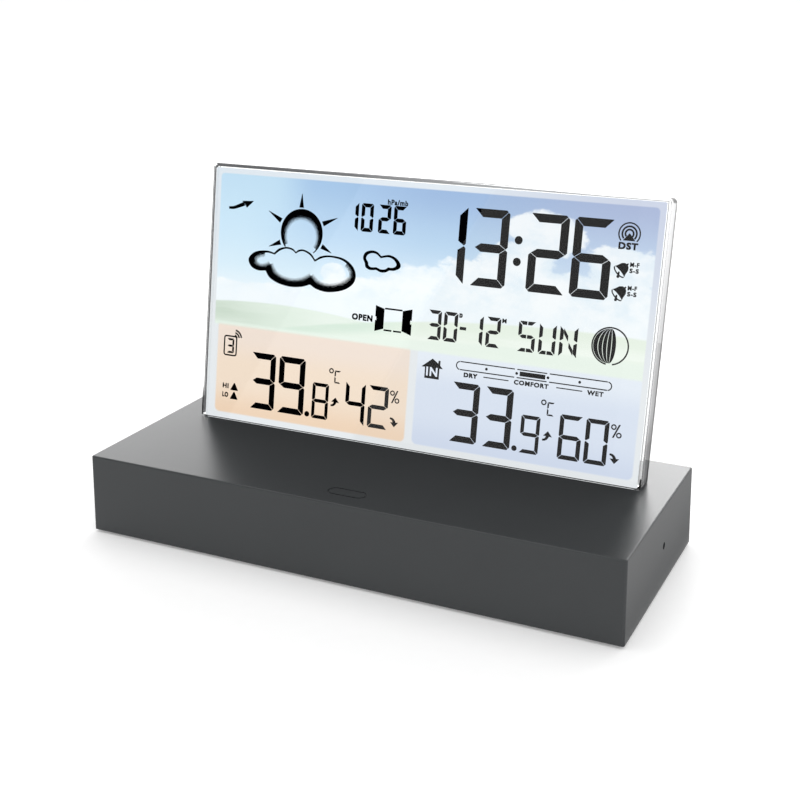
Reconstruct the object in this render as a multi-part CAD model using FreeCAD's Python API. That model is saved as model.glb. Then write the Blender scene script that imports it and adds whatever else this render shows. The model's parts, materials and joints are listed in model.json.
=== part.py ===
"""Home weather station: a clear acrylic display panel that leans back out of a low, dark desk base.

Millimetres, +Z up. X runs along the front and +Y points to the back. The origin is the centre of the
base's footprint, on the surface that the rubber feet stand on.
"""

import FreeCAD, Part
import math
import os

from FreeCAD import Placement, Rotation, Vector

# ---------------------------------------------------------------- driving dimensions
BASE_W, BASE_D, BASE_H = 180.0, 73.2, 26.0  # the cover's top face, and its height
DRAFT = 0.66  # the cover's open bottom is this much wider on each side than its top
FOOT_H = 1.0  # the rubber feet hold the cover this far off the table
WALL, TOP_WALL = 2.0, 2.2
EDGE_R, CORNER_R = 0.5, 0.8

LEAN = 10.2  # degrees that the panel leans back
PANEL_W, PANEL_UP, PANEL_T = 158.8, 88.4, 7.4  # width, length above the base, thickness
PANEL_X, PANEL_Y = 1.0, 10.7  # its middle, and where its front face meets the top of the base
PANEL_R, PANEL_CHAMFER = 1.8, 0.3
RIM = 1.65  # clear rim round the display layers
GLUE = 0.05  # gap between the optical layers
GLASS_T, CELL_T, FILM_T, DIFFUSER_T = 1.5, 1.8, 0.2, 0.15

PLATE_T, DOOR_T, DOOR_TRAVEL = 2.0, 1.6, 6.0
KEY_COUNT, KEY_PITCH, FIRST_KEY_X, KEY_Z = 6, 14.0, -50.0, 12.6
KEY_W, KEY_H, KEY_GAP = 9.0, 4.6, 0.3
BATTERY_R, BATTERY_L, BATTERY_PITCH = 5.25, 44.5, 11.3  # AAA cells
JACK_X, JACK_HOLE_R, JACK_PIN_R = 62.0, 1.85, 0.65
VENT_Y, VENT_R = 3.3, 1.15
BOARD_T = 1.6

# ---------------------------------------------------------------- places that follow from them
TOP_Z = FOOT_H + BASE_H
MID_Z = FOOT_H + BASE_H / 2
CEILING_Z = TOP_Z - TOP_WALL
SLACK = 0.2  # assembly gap between parts that are only set in place
PLATE_Z0 = FOOT_H + SLACK
PLATE_Z1 = PLATE_Z0 + PLATE_T
PLATE_X, PLATE_Y = BASE_W / 2 - WALL + 0.4, BASE_D / 2 - WALL + 0.4  # half sizes

HALF_PANEL, HALF_DISPLAY = PANEL_W / 2, PANEL_W / 2 - RIM
DISPLAY_TOP = PANEL_UP - RIM + 0.2
CELL_V = GLASS_T + GLUE  # depths behind the panel's front face
FILM_V = CELL_V + CELL_T + GLUE
DIFFUSER_V = FILM_V + FILM_T + GLUE
POCKET_V = DIFFUSER_V + DIFFUSER_T + GLUE
DISPLAY_FOOT, LEDGE_TOP = 0.9, 3.2  # lower ends of the layers, and of the display cell's rear plate
SEAT_Z = TOP_Z + GLUE  # the panel stands on the base, and only its tongue goes into the slot
TONGUE_X, TONGUE_FOOT = 73.0, -16.0
SLOT_V0 = 1.9

CRADLE_X, CRADLE_V0, CRADLE_V1 = TONGUE_X + 2.6, 1.0, PANEL_T + 2.2
CRADLE_FOOT, CRADLE_TOP, TROUGH_FLOOR = -19.6, -3.0, -18.0
PIN_X, PIN_U, PIN_R = 60.0, -13.0, 1.0
RIBBON_X = (0.0, 24.0)
LED_LEAD_X = (46.0, 48.0)
LED_BOARD_U = TROUGH_FLOOR + GLUE

BOSS_X, BOSS_Y, BOSS_R = 84.3, 31.0, 3.0
EAR_X, EAR_Y, EAR_Z, EAR_T = 85.0, 12.0, 14.0, 2.4
FOOT_X, FOOT_Y, FOOT_R = 83.0, 22.0, 4.0

BAY_X, BAY_Y, BAY_TOP, BAY_WALL = (-76.0, -27.0), (-31.4, 2.6), 14.2, 1.2
BATTERY_Z = 8.5
BATTERY_YS = [sum(BAY_Y) / 2 + k * BATTERY_PITCH for k in (-1, 0, 1)]
CONTACT_T = 0.3
PAD_Z = 4.6  # the plate is this thick round the bay, so that it can hold the door's grooves
DOOR_X = (BAY_X[0] - 1.2, BAY_X[1] + 1.2)
DOOR_Y = (BAY_Y[0] - 1.9, BAY_Y[1] + 1.9)
TONGUE_L, TONGUE_OUT, TONGUE_STARTS = 6.0, 1.0, (0.6, 16.2, 31.0)

MAIN_X, MAIN_Y, MAIN_Z0 = (-20.0, 80.0), (-33.0, 4.0), 7.4
MAIN_Z1 = MAIN_Z0 + BOARD_T
MAIN_HOLES = [(x, y) for x in (-16.5, 76.5) for y in (-29.5, 0.5)]
BUZZER_X, BUZZER_Y, BUZZER_R = 58.0, -24.0, 6.0
TOUCH_Y, TOUCH_SPRING_R = -28.0, 2.2
RADIO_X, RADIO_Y = 64.0, -9.0

REAR_X, REAR_Y0, REAR_Z, REAR_T = (-64.0, 76.0), 26.8, (5.2, 20.0), 1.2
REAR_Y1 = REAR_Y0 + REAR_T
REAR_HOLES = [(x, 17.4) for x in (-60.5, 34.0, 72.5)]
LINK_X = (4.0, 14.0)  # the flat cable between the two boards

SENSE_X, SENSE_T, SENSE_Y, SENSE_Z1 = 83.3, 1.2, (-9.0, 7.0), 19.0
ROD_X, ROD_Y, ROD_Z, ROD_R = (-74.0, -26.0), -14.0, 20.1, 3.8
COIL_X, COIL_R = (-42.0, -30.0), 4.4
SADDLE_XS, SADDLE_T = (-71.0, -48.0), 2.4


def flare(z):
    """How far the cover's outside stands out at height z, past its size at the top."""
    return DRAFT * (TOP_Z - z) / BASE_H


REAR_WALL_Y = BASE_D / 2 + flare(KEY_Z) - WALL  # inside of the rear wall at the keys
RECESS_Y = REAR_WALL_Y + 1.2  # floor of the shallow recess that the keys stand in
CAP_Y = REAR_WALL_Y + WALL - 0.15  # the keys' outer faces
STEM_Y = 32.0  # where a key's post meets its switch's stem


# ---------------------------------------------------------------- helpers
def box(x, y, z):
    """A box between the two values of each of x, y and z."""
    return Part.makeBox(x[1] - x[0], y[1] - y[0], z[1] - z[0], Vector(x[0], y[0], z[0]))


def slab(x, y, z, wide, deep, high):
    """A box centred on x and y that stands on z."""
    return box((x - wide / 2, x + wide / 2), (y - deep / 2, y + deep / 2), (z, z + high))


def rod(radius, start, axis, length):
    return Part.makeCylinder(radius, length, Vector(*start), Vector(*axis))


def round_edges(shape, radius, axis):
    """Rounds a box's four edges that run along axis."""
    along = Vector(*axis)
    picked = [e for e in shape.Edges if abs(e.tangentAt(e.FirstParameter).dot(along)) > 0.99]
    return shape.makeFillet(radius, picked)


def pill(x, z, wide, high, y):
    """A prism along Y with fully rounded ends."""
    shape = box((x - wide / 2, x + wide / 2), y, (z - high / 2, z + high / 2))
    return round_edges(shape, high / 2 - 0.01, (0, 1, 0))


def tapered(z, inset):
    """The base's drafted body between two heights, set in from the cover's outside."""
    outlines = []
    for level in z:
        x, y = BASE_W / 2 + flare(level) - inset, BASE_D / 2 + flare(level) - inset
        corners = [Vector(-x, -y, level), Vector(x, -y, level), Vector(x, y, level), Vector(-x, y, level)]
        outlines.append(Part.makePolygon(corners + corners[:1]))
    return Part.makeLoft(outlines, True, True)


def fuse(shapes):
    return shapes[0].fuse(shapes[1:]).removeSplitter()


def cut(shape, tools):
    return shape.cut(tools).removeSplitter()


LEANING = Placement(Vector(PANEL_X, PANEL_Y, TOP_Z), Rotation(Vector(1, 0, 0), -LEAN))


def lean(shape):
    """Moves a shape from the panel's frame (X, depth behind its front face, length up the panel from
    the top of the base) to its place."""
    moved = shape.copy()
    moved.Placement = LEANING
    return moved


def on_panel(x, depth, up):
    return tuple(LEANING.multVec(Vector(x, depth, up)))


def bent_path(points, share=0.45):
    """Straight runs joined by tangent arcs, each as large as its two runs allow."""
    points = [Vector(*p) for p in points]
    edges, start = [], points[0]
    for before, corner, after in zip(points, points[1:], points[2:]):
        back, ahead = before - corner, after - corner
        reach = share * min(back.Length, ahead.Length)
        back.normalize()
        ahead.normalize()
        half = back.getAngle(ahead) / 2
        middle = back + ahead
        middle.normalize()
        depth = reach / math.cos(half) - reach * math.tan(half)
        first, last = corner + back * reach, corner + ahead * reach
        edges.append(Part.LineSegment(start, first).toShape())
        edges.append(Part.Arc(first, corner + middle * depth, last).toShape())
        start = last
    edges.append(Part.LineSegment(start, points[-1]).toShape())
    return Part.Wire(edges)


def lead(points, radius):
    """A round wire."""
    along = Vector(*points[1]) - Vector(*points[0])
    ring = Part.Wire([Part.Circle(Vector(*points[0]), along, radius).toShape()])
    return bent_path(points).makePipeShell([ring], True, False)


def strip(x, points, thickness):
    """A flat flexible strip between two X values that follows points given as (y, z)."""
    path = [(x[0], y, z) for y, z in points]
    along = Vector(*path[1]) - Vector(*path[0])
    along.normalize()
    normal = along.cross(Vector(1, 0, 0)) * (thickness / 2)
    start, width = Vector(*path[0]), Vector(x[1] - x[0], 0, 0)
    corners = [start + normal, start - normal, start - normal + width, start + normal + width]
    outline = Part.makePolygon(corners + corners[:1])
    return bent_path(path).makePipeShell([outline], True, False)


def spring(start, axis, radius, wire_r, pitch, length):
    """A helical coil whose wire's centre runs from start over length along axis."""
    helix = Part.makeHelix(pitch, length, radius)
    ring = Part.Wire([Part.Circle(Vector(radius, 0, 0), Vector(0, 1, 0), wire_r).toShape()])
    shape = helix.makePipeShell([ring], True, True)
    shape.Placement = Placement(Vector(*start), Rotation(Vector(0, 0, 1), Vector(*axis)))
    return shape


def screw(seat, axis, shank_r, length, head_r, head_h):
    """A pan-head screw: seat is the point under its head, and axis points to its tip."""
    up, tip, recess = Vector(0, 0, 1), 1.0, head_h * 0.5
    shank = Part.makeCylinder(shank_r, length - tip)
    point = Part.makeCone(shank_r, shank_r * 0.4, tip, Vector(0, 0, length - tip))
    head = Part.makeCylinder(head_r, head_h, Vector(0, 0, -head_h))
    rim = [e for e in head.Edges if e.Closed and abs(e.CenterOfMass.z + head_h) < 0.01]
    head = head.makeFillet(head_h * 0.45, rim)
    slot = Part.makeBox(head_r * 1.2, head_r * 0.3, recess, Vector(-head_r * 0.6, -head_r * 0.15, -head_h))
    cross = [slot, slot.rotated(Vector(0, 0, 0), up, 90)]
    shape = cut(fuse([shank, point, head]), cross)
    shape.Placement = Placement(Vector(*seat), Rotation(up, Vector(*axis)))
    return shape


def key_xs():
    return [FIRST_KEY_X + KEY_PITCH * k for k in range(KEY_COUNT)]


def mirrored(x, y):
    return [(sx * x, sy * y) for sx in (-1, 1) for sy in (-1, 1)]


# ---------------------------------------------------------------- display panel
def panel_plate(depth):
    """The panel's outline between two depths, with its foot cut level to stand on the base."""
    plate = box((-HALF_PANEL, HALF_PANEL), depth, (0, PANEL_UP))
    plate = round_edges(plate, PANEL_R, (0, 1, 0))
    outer = 0 if depth[0] == 0 else depth[1]
    rim = [e for e in plate.Edges if abs(e.BoundBox.YMin - outer) + abs(e.BoundBox.YMax - outer) < 0.01]
    below = box((-BASE_W, BASE_W), (-BASE_W, BASE_W), (0, SEAT_Z))
    return lean(plate.makeChamfer(PANEL_CHAMFER, rim)).cut(below)


def front_glass():
    return panel_plate((0, GLASS_T))


def light_guide_block():
    """Clear block with a shallow pocket for the display, and a tongue that goes into the base."""
    side = HALF_DISPLAY + GLUE
    pocket = box((-side, side), (0, POCKET_V), (-PANEL_T, DISPLAY_TOP + GLUE))
    pocket = round_edges(pocket, 0.6, (0, 1, 0))
    tongue = box((-TONGUE_X, TONGUE_X), (POCKET_V, PANEL_T), (TONGUE_FOOT, PANEL_R))
    pins = [rod(PIN_R + GLUE, (x, -1, PIN_U), (0, 1, 0), PANEL_T + 2) for x in (-PIN_X, PIN_X)]
    block = panel_plate((CELL_V, PANEL_T)).cut(lean(pocket)).fuse(lean(tongue))
    return cut(block, [lean(pin) for pin in pins])


def display_layer(depth, thickness, foot=DISPLAY_FOOT):
    layer = box((-HALF_DISPLAY, HALF_DISPLAY), (depth, depth + thickness), (foot, DISPLAY_TOP))
    return lean(round_edges(layer, 0.5, (0, 1, 0)))


def lcd_cell():
    """Two glass plates; the front one is longer and carries the ribbon's contacts on its back."""
    plate_t = CELL_T / 2
    front = display_layer(CELL_V, plate_t)
    rear = display_layer(CELL_V + plate_t, plate_t, LEDGE_TOP)
    return front.fuse([rear])


def colour_film():
    return display_layer(FILM_V, FILM_T)


def diffuser_sheet():
    return display_layer(DIFFUSER_V, DIFFUSER_T)


def lcd_ribbon():
    """Flexible printed cable from the display's ledge, down through the slot, to the main board."""
    thickness, exit_u = 0.16, -12.2
    depth = CELL_V + CELL_T / 2 + thickness / 2 + 0.01
    down, turn, out = [on_panel(0, *p)[1:] for p in
                       ((depth, LEDGE_TOP - 0.3), (depth, exit_u), (-3.4, exit_u))]
    return strip(RIBBON_X, [down, turn, out, (2.6, MAIN_Z1 + 1.0), (-0.49, MAIN_Z1 + 1.0)], thickness)


def panel_cradle():
    """Trough that holds the panel's tongue and the lamp board, with a screw ear at each end."""
    wall = 0.15
    outer = box((-CRADLE_X, CRADLE_X), (CRADLE_V0, CRADLE_V1), (CRADLE_FOOT, CRADLE_TOP))
    side, hollow_v = TONGUE_X + SLACK, (POCKET_V - wall, PANEL_T + wall)
    hollow = box((-side, side), hollow_v, (TROUGH_FLOOR, 0))
    front = (CRADLE_V0 - 1, POCKET_V)
    window = box((RIBBON_X[0] - 2, RIBBON_X[1] + 2), front, (-15.0, 0))
    notch = box((LED_LEAD_X[0] - 1, LED_LEAD_X[1] + 1), front, (TROUGH_FLOOR, -15.0))
    pins = [rod(PIN_R + GLUE, (x, CRADLE_V0 - 1, PIN_U), (0, 1, 0), 14) for x in (-PIN_X, PIN_X)]
    solids = [lean(outer.cut([hollow, window, notch] + pins))]
    pad_w, pad_high, ear_end, ear_d = 0.8, TONGUE_FOOT - GLUE - TROUGH_FLOOR, EAR_X + 2.6, 8.0
    for sign in (-1, 1):
        pad = slab(sign * (side - pad_w / 2), sum(hollow_v) / 2, TROUGH_FLOOR, pad_w,
                   hollow_v[1] - hollow_v[0], pad_high)
        ear_xs = sorted((PANEL_X + sign * (CRADLE_X - 1), sign * ear_end))
        ear = slab(sum(ear_xs) / 2, EAR_Y, EAR_Z, ear_xs[1] - ear_xs[0], ear_d, EAR_T)
        solids += [lean(pad), ear]
    holes = [rod(1.15, (x, EAR_Y, EAR_Z - 1), (0, 0, 1), EAR_T + 2) for x in (-EAR_X, EAR_X)]
    return cut(fuse(solids), holes)


def cradle_screws():
    return [screw((x, EAR_Y, EAR_Z), (0, 0, 1), 1.0, 7.0, 2.0, 1.2) for x in (-EAR_X, EAR_X)]


def panel_pins():
    """Steel pins through the cradle and the block's foot, which keep the panel from lifting out."""
    length = CRADLE_V1 - CRADLE_V0 - 0.4
    return [lean(rod(PIN_R, (x, CRADLE_V0 + 0.2, PIN_U), (0, 1, 0), length)) for x in (-PIN_X, PIN_X)]


def led_board():
    depth = (POCKET_V - 0.1, PANEL_T + 0.1)
    return lean(box((-TONGUE_X + 1, TONGUE_X - 1), depth, (LED_BOARD_U, LED_BOARD_U + 1)))


def backlight_leds():
    count, pitch, foot = 13, 11.2, LED_BOARD_U + 1
    xs = [(k - (count - 1) / 2) * pitch for k in range(count)]
    return [lean(slab(x, (POCKET_V + PANEL_T) / 2, foot, 3.5, 2.8, 0.8)) for x in xs]


def led_leads():
    radius, level = 0.45, LED_BOARD_U + 1.46
    return [lead([on_panel(x, 4.2, level), on_panel(x, -4.8, level), (x + PANEL_X, 3.2, MAIN_Z1 + 1.6),
                  (x + PANEL_X, 1.0, MAIN_Z1 + 1.6)], radius) for x in LED_LEAD_X]


# ---------------------------------------------------------------- base shells
def touch_ring():
    """A shallow oval groove on the top, over the touch key's electrode."""
    depth, groove, wide, high = 0.25, 0.5, 13.0, 5.0
    outlines = []
    for inset in (0, groove):
        half_w, half_h = wide / 2 - inset, high / 2 - inset
        oval = box((-half_w, half_w), (TOUCH_Y - half_h, TOUCH_Y + half_h), (TOP_Z - depth, TOP_Z + 1))
        outlines.append(round_edges(oval, half_h - 0.01, (0, 0, 1)))
    return outlines[0].cut(outlines[1])


def cover_bosses():
    """Screw posts and the aerial's clips, which stand on the cover's inside."""
    reach, rear = CEILING_Z + 0.5, REAR_WALL_Y + 0.6
    posts = [rod(BOSS_R, (x, y, PLATE_Z1), (0, 0, 1), reach - PLATE_Z1) for x, y in mirrored(BOSS_X, BOSS_Y)]
    ear_top = EAR_Z + EAR_T
    posts += [rod(2.4, (x, EAR_Y, ear_top), (0, 0, 1), reach - ear_top) for x in (-EAR_X, EAR_X)]
    posts += [rod(2.4, (x, REAR_Y1, z), (0, 1, 0), rear - REAR_Y1) for x, z in REAR_HOLES]
    for x in SADDLE_XS:
        clip = box((x, x + SADDLE_T), (ROD_Y - 5.4, ROD_Y + 5.4), (ROD_Z - 1.2, reach))
        posts.append(clip.cut(rod(ROD_R + GLUE, (x - 1, ROD_Y, ROD_Z), (1, 0, 0), SADDLE_T + 2)))
    return posts


def base_cover():
    body = tapered((FOOT_H, TOP_Z), 0)
    upright = [e for e in body.Edges if e.BoundBox.ZLength > BASE_H / 2]
    body = body.makeFillet(CORNER_R, upright)
    top_rim = [e for e in body.Edges if e.BoundBox.ZMin > TOP_Z - 0.01]
    body = body.makeFillet(EDGE_R, top_rim)
    shell = body.cut([tapered((0, CEILING_Z), WALL)]).fuse(cover_bosses())

    pilot = 0.05  # the screws' clearance
    cuts = [rod(1.2 + pilot, (x, y, 0), (0, 0, 1), 13) for x, y in mirrored(BOSS_X, BOSS_Y)]
    cuts += [rod(1.0 + pilot, (x, EAR_Y, EAR_Z), (0, 0, 1), 9.5) for x in (-EAR_X, EAR_X)]
    cuts += [rod(0.9 + pilot, (x, REAR_Y0, z), (0, 1, 0), 6.2) for x, z in REAR_HOLES]
    gap = 0.25
    cuts.append(lean(box((-TONGUE_X - gap, TONGUE_X + gap), (SLOT_V0, PANEL_T + gap), (-4, 6))))
    cuts.append(rod(VENT_R, (BASE_W / 2 - 4, VENT_Y, MID_Z), (1, 0, 0), 8))
    margin = KEY_W / 2 + 3.6
    recess = box((key_xs()[0] - margin, key_xs()[-1] + margin), (RECESS_Y, RECESS_Y + 4),
                 (KEY_Z - 4.6, KEY_Z + 4.6))
    cuts.append(round_edges(recess, 1.5, (0, 1, 0)))
    wide, high = KEY_W + 2 * KEY_GAP, KEY_H + 2 * KEY_GAP
    cuts += [pill(x, KEY_Z, wide, high, (REAR_WALL_Y - 1, REAR_WALL_Y + 4)) for x in key_xs()]
    cuts.append(rod(JACK_HOLE_R + 0.2, (JACK_X, REAR_WALL_Y - 1, KEY_Z), (0, 1, 0), 5))
    cuts.append(rod(4.0, (JACK_X, RECESS_Y, KEY_Z), (0, 1, 0), 4))
    cuts.append(touch_ring())
    return cut(shell, cuts)


def door_tongues(shift, slack):
    """The door's side tongues, or with slack, the notches that let them out of their grooves."""
    z = (PLATE_Z0 + 0.7 - 4 * slack, PLATE_Z0 + DOOR_T + slack)
    tongues = []
    for start in TONGUE_STARTS:
        y0 = DOOR_Y[0] + start + shift
        y = (y0 - slack, y0 + TONGUE_L + slack)
        for edge in DOOR_X:
            tongues.append(box((edge - TONGUE_OUT - slack, edge + TONGUE_OUT + slack), y, z))
    return tongues


def base_plate():
    plate = box((-PLATE_X, PLATE_X), (-PLATE_Y, PLATE_Y), (PLATE_Z0, PLATE_Z1))
    plate = round_edges(plate, 1.5, (0, 0, 1))
    door_end = DOOR_Y[1] + DOOR_TRAVEL
    pad = box((DOOR_X[0] - 2.6, DOOR_X[1] + 2.6), (-PLATE_Y + 0.3, door_end + 1.6), (PLATE_Z0, PAD_Z))
    tub = box((BAY_X[0] - BAY_WALL, BAY_X[1] + BAY_WALL), (BAY_Y[0] - BAY_WALL, BAY_Y[1] + BAY_WALL),
              (PLATE_Z0, BAY_TOP + BAY_WALL))
    tub = round_edges(tub, 1.0, (0, 0, 1))
    posts = [rod(2.6, (x, y, PLATE_Z0 + 1), (0, 0, 1), MAIN_Z0 - PLATE_Z0 - 1) for x, y in MAIN_HOLES]
    ribs = [box((SENSE_X - 1.6, SENSE_X + SENSE_T + 1.6), (y, y + 1.4), (PLATE_Z0 + 1, PLATE_Z1 + 3.5))
            for y in (SENSE_Y[0] + 1, SENSE_Y[1] - 2.4)]
    plate = fuse([plate, pad, tub] + posts + ribs)

    cuts = [box(BAY_X, BAY_Y, (0, BAY_TOP))]
    floor = PLATE_Z0 + DOOR_T + SLACK
    run = (DOOR_Y[0] - SLACK, door_end + SLACK)
    cuts.append(box((DOOR_X[0] - SLACK, DOOR_X[1] + SLACK), run, (0, floor)))
    out = TONGUE_OUT + SLACK
    cuts.append(box((DOOR_X[0] - out, DOOR_X[1] + out), run, (PLATE_Z0 + 0.6, floor)))
    cuts += door_tongues(DOOR_TRAVEL, SLACK)
    cuts += [rod(1.4, (x, y, 0), (0, 0, 1), 6) for x, y in mirrored(BOSS_X, BOSS_Y)]
    cuts += [rod(2.7, (x, y, 0), (0, 0, 1), PLATE_Z0 + 1.2) for x, y in mirrored(BOSS_X, BOSS_Y)]
    cuts += [rod(1.0, (x, y, PLATE_Z1), (0, 0, 1), 10) for x, y in MAIN_HOLES]
    cuts += [rod(FOOT_R + SLACK, (x, y, 0), (0, 0, 1), PLATE_Z0 + 0.6) for x, y in mirrored(FOOT_X, FOOT_Y)]
    cuts.append(box((SENSE_X - GLUE, SENSE_X + SENSE_T + GLUE), SENSE_Y, (PLATE_Z1, PLATE_Z1 + 6)))
    ends = ((BAY_X[1] - 1, BATTERY_YS[0]), (BAY_X[0] - 3, BATTERY_YS[2]))
    cuts += [rod(1.0, (x, y, BATTERY_Z), (1, 0, 0), 4) for x, y in ends]
    sound_ring, sound_holes = 3.4, 6
    for k in range(sound_holes):
        angle = 2 * math.pi * k / sound_holes
        x, y = BUZZER_X + sound_ring * math.cos(angle), BUZZER_Y + sound_ring * math.sin(angle)
        cuts.append(rod(0.6, (x, y, 0), (0, 0, 1), 6))
    return cut(plate, cuts)


def battery_door():
    panel = box(DOOR_X, DOOR_Y, (PLATE_Z0, PLATE_Z0 + DOOR_T))
    door = fuse([panel] + door_tongues(0, 0))
    grips, grip_pitch, mid_x = 5, 2.2, sum(DOOR_X) / 2
    grooves = [box((mid_x - 9, mid_x + 9), (DOOR_Y[0] + 4 + k * grip_pitch, DOOR_Y[0] + 5 + k * grip_pitch),
                   (PLATE_Z0 - 1, PLATE_Z0 + 0.5)) for k in range(grips)]
    return cut(door, grooves)


def rubber_feet():
    feet = []
    for x, y in mirrored(FOOT_X, FOOT_Y):
        foot = rod(FOOT_R, (x, y, 0), (0, 0, 1), PLATE_Z0 + 0.6)
        feet.append(foot.makeChamfer(0.4, [e for e in foot.Edges if e.Closed and e.BoundBox.ZMax < 0.01]))
    return feet


def base_screws():
    return [screw((x, y, PLATE_Z0 + 1.2), (0, 0, 1), 1.2, 9.0, 2.4, 1.1) for x, y in mirrored(BOSS_X, BOSS_Y)]


# ---------------------------------------------------------------- batteries
def battery_ends():
    """For each cell, the x of its nipple's tip, the x of its flat end, and the side of the nipple."""
    left, right = BAY_X[0] + CONTACT_T, BAY_X[1] - CONTACT_T
    tips = (right, left, right)
    sides = (1, -1, 1)
    return [(tip, tip - side * BATTERY_L, side) for tip, side in zip(tips, sides)]


def battery_cells():
    cells, nipple_r, nipple_l = [], 1.9, 1.0
    for y, (tip, flat, side) in zip(BATTERY_YS, battery_ends()):
        can = rod(BATTERY_R, (flat, y, BATTERY_Z), (side, 0, 0), BATTERY_L - nipple_l)
        can = can.makeFillet(0.4, [e for e in can.Edges if e.Closed and e.BoundBox.XLength < 0.01])
        nipple = rod(nipple_r, (tip - side * nipple_l, y, BATTERY_Z), (side, 0, 0), nipple_l)
        cells.append(fuse([can, nipple]))
    return cells


def battery_contacts():
    """A plate for each outer terminal, and a link between neighbours at each end of the bay."""
    half, z = 4.4, (BATTERY_Z - 4.0, BATTERY_Z + 4.0)
    left, right = (BAY_X[0], BAY_X[0] + CONTACT_T), (BAY_X[1] - CONTACT_T, BAY_X[1])
    first, middle, last = BATTERY_YS
    plus = box(right, (first - half, first + half), z)
    plus = fuse([plus, rod(0.9, (right[0], first, BATTERY_Z), (1, 0, 0), 2.2)])
    minus = box(left, (last - half, last + half), z)
    minus = fuse([minus, rod(0.9, (left[1], last, BATTERY_Z), (-1, 0, 0), 2.2)])
    links = [box(left, (first - half, middle + half), z), box(right, (middle - half, last + half), z)]
    return [plus, minus] + links


def battery_springs():
    """A bowed leaf that stands on the contact plate and presses on each cell's flat end."""
    leaves, width, thick, gap = [], 5.0, 0.3, 0.05
    foot, crown, leg = 3.6, 1.2, 0.5
    for y, (_, flat, side) in zip(BATTERY_YS, battery_ends()):
        wall = BAY_X[0] + CONTACT_T if side > 0 else BAY_X[1] - CONTACT_T
        near, far = wall + side * gap, flat - side * gap
        inner = far - side * thick
        above = [(far, crown), (near, foot), (near, foot - leg), (inner, crown - thick)]
        outline = above + [(x, -z) for x, z in reversed(above)]
        corners = [Vector(x, y - width / 2, BATTERY_Z + z) for x, z in outline]
        leaf = Part.Face(Part.makePolygon(corners + corners[:1]))
        leaves.append(leaf.extrude(Vector(0, width, 0)))
    return leaves


def battery_leads():
    radius, out, over, in_x = 0.5, BAY_X[0] - 5.0, BAY_TOP + BAY_WALL + 1.0, -15.0
    first, last = BATTERY_YS[0], BATTERY_YS[2]
    plus = [(BAY_X[1] + 1.9, first, BATTERY_Z), (BAY_X[1] + 4.5, first, BATTERY_Z),
            (BAY_X[1] + 4.5, first, MAIN_Z1 + 4), (in_x, first, MAIN_Z1 + 4), (in_x, first, MAIN_Z1)]
    minus = [(BAY_X[0] - 1.9, last, BATTERY_Z), (out, last, BATTERY_Z), (out, last, over),
             (in_x, last, over), (in_x, last, MAIN_Z1)]
    return [lead(plus, radius), lead(minus, radius)]


# ---------------------------------------------------------------- main board
def main_board():
    board = box(MAIN_X, MAIN_Y, (MAIN_Z0, MAIN_Z1))
    return cut(board, [rod(1.1, (x, y, 0), (0, 0, 1), 20) for x, y in MAIN_HOLES])


def board_screws():
    return [screw((x, y, MAIN_Z1), (0, 0, -1), 0.95, 5.0, 2.0, 1.2) for x, y in MAIN_HOLES]


def display_driver():
    """A square chip with a row of leads on each side."""
    x, y, size, leads, pitch = 14.0, -18.0, 14.0, 12, 1.0
    body = slab(x, y, MAIN_Z1 + 0.1, size, size, 1.4)
    pins = []
    for k in range(leads):
        along = (k - (leads - 1) / 2) * pitch
        for sign in (-1, 1):
            edge = sign * (size / 2 + 0.6)
            pins.append(slab(x + along, y + edge, MAIN_Z1, 0.4, 2.0, 0.3))
            pins.append(slab(x + edge, y + along, MAIN_Z1, 2.0, 0.4, 0.3))
    return fuse([body] + pins)


def clock_crystal():
    can = slab(30.0, -26.0, MAIN_Z1, 10.4, 4.4, 3.4)
    return round_edges(can, 2.15, (0, 0, 1))


def smoothing_capacitor():
    can = rod(3.15, (-6.0, -8.0, MAIN_Z1), (0, 0, 1), 8.0)
    return can.makeFillet(0.5, [e for e in can.Edges if e.Closed])


def radio_module():
    """A small board on a pin header, with a shield can."""
    board = slab(RADIO_X, RADIO_Y, MAIN_Z1 + 1.6, 18.0, 12.0, 0.8)
    can = slab(RADIO_X - 2, RADIO_Y, MAIN_Z1 + 2.4, 10.0, 8.0, 1.8)
    header = slab(RADIO_X - 2, RADIO_Y + 4.6, MAIN_Z1, 10.0, 2.0, 1.6)
    return fuse([board, can, header])


def radio_aerial():
    return spring((RADIO_X + 6.2, RADIO_Y, MAIN_Z1 + 2.85), (0, 0, 1), 2.0, 0.4, 1.4, 9.8)


def buzzer():
    can = rod(BUZZER_R, (BUZZER_X, BUZZER_Y, PLATE_Z1 + 0.6), (0, 0, 1), MAIN_Z0 - PLATE_Z1 - 0.6)
    return cut(can, [rod(1.2, (BUZZER_X, BUZZER_Y, PLATE_Z1), (0, 0, 1), 1.6)])


def board_connectors():
    """Sockets for the display ribbon, the lamp leads and the flat cable to the rear board."""
    ribbon = box((RIBBON_X[0] - 1.5, RIBBON_X[1] + 1.5), (-4.0, -0.5), (MAIN_Z1, MAIN_Z1 + 2.0))
    lamp = box((LED_LEAD_X[0] - 2.5, LED_LEAD_X[1] + 2.5), (-4.5, 1.0), (MAIN_Z1, MAIN_Z1 + 3.4))
    link = box((LINK_X[0] - 1.5, LINK_X[1] + 1.5), (-2.0, 3.0), (MAIN_Z0 - 3.0, MAIN_Z0))
    rear = box((LINK_X[0] - 1.5, LINK_X[1] + 1.5), (REAR_Y0 - 2.6, REAR_Y0), (6.2, 10.6))
    return [ribbon, lamp, link, rear]


def touch_electrode():
    pad = slab(0, TOUCH_Y, CEILING_Z - 0.35, 14.0, 8.0, 0.3)
    return round_edges(pad, 1.5, (0, 0, 1))


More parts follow.
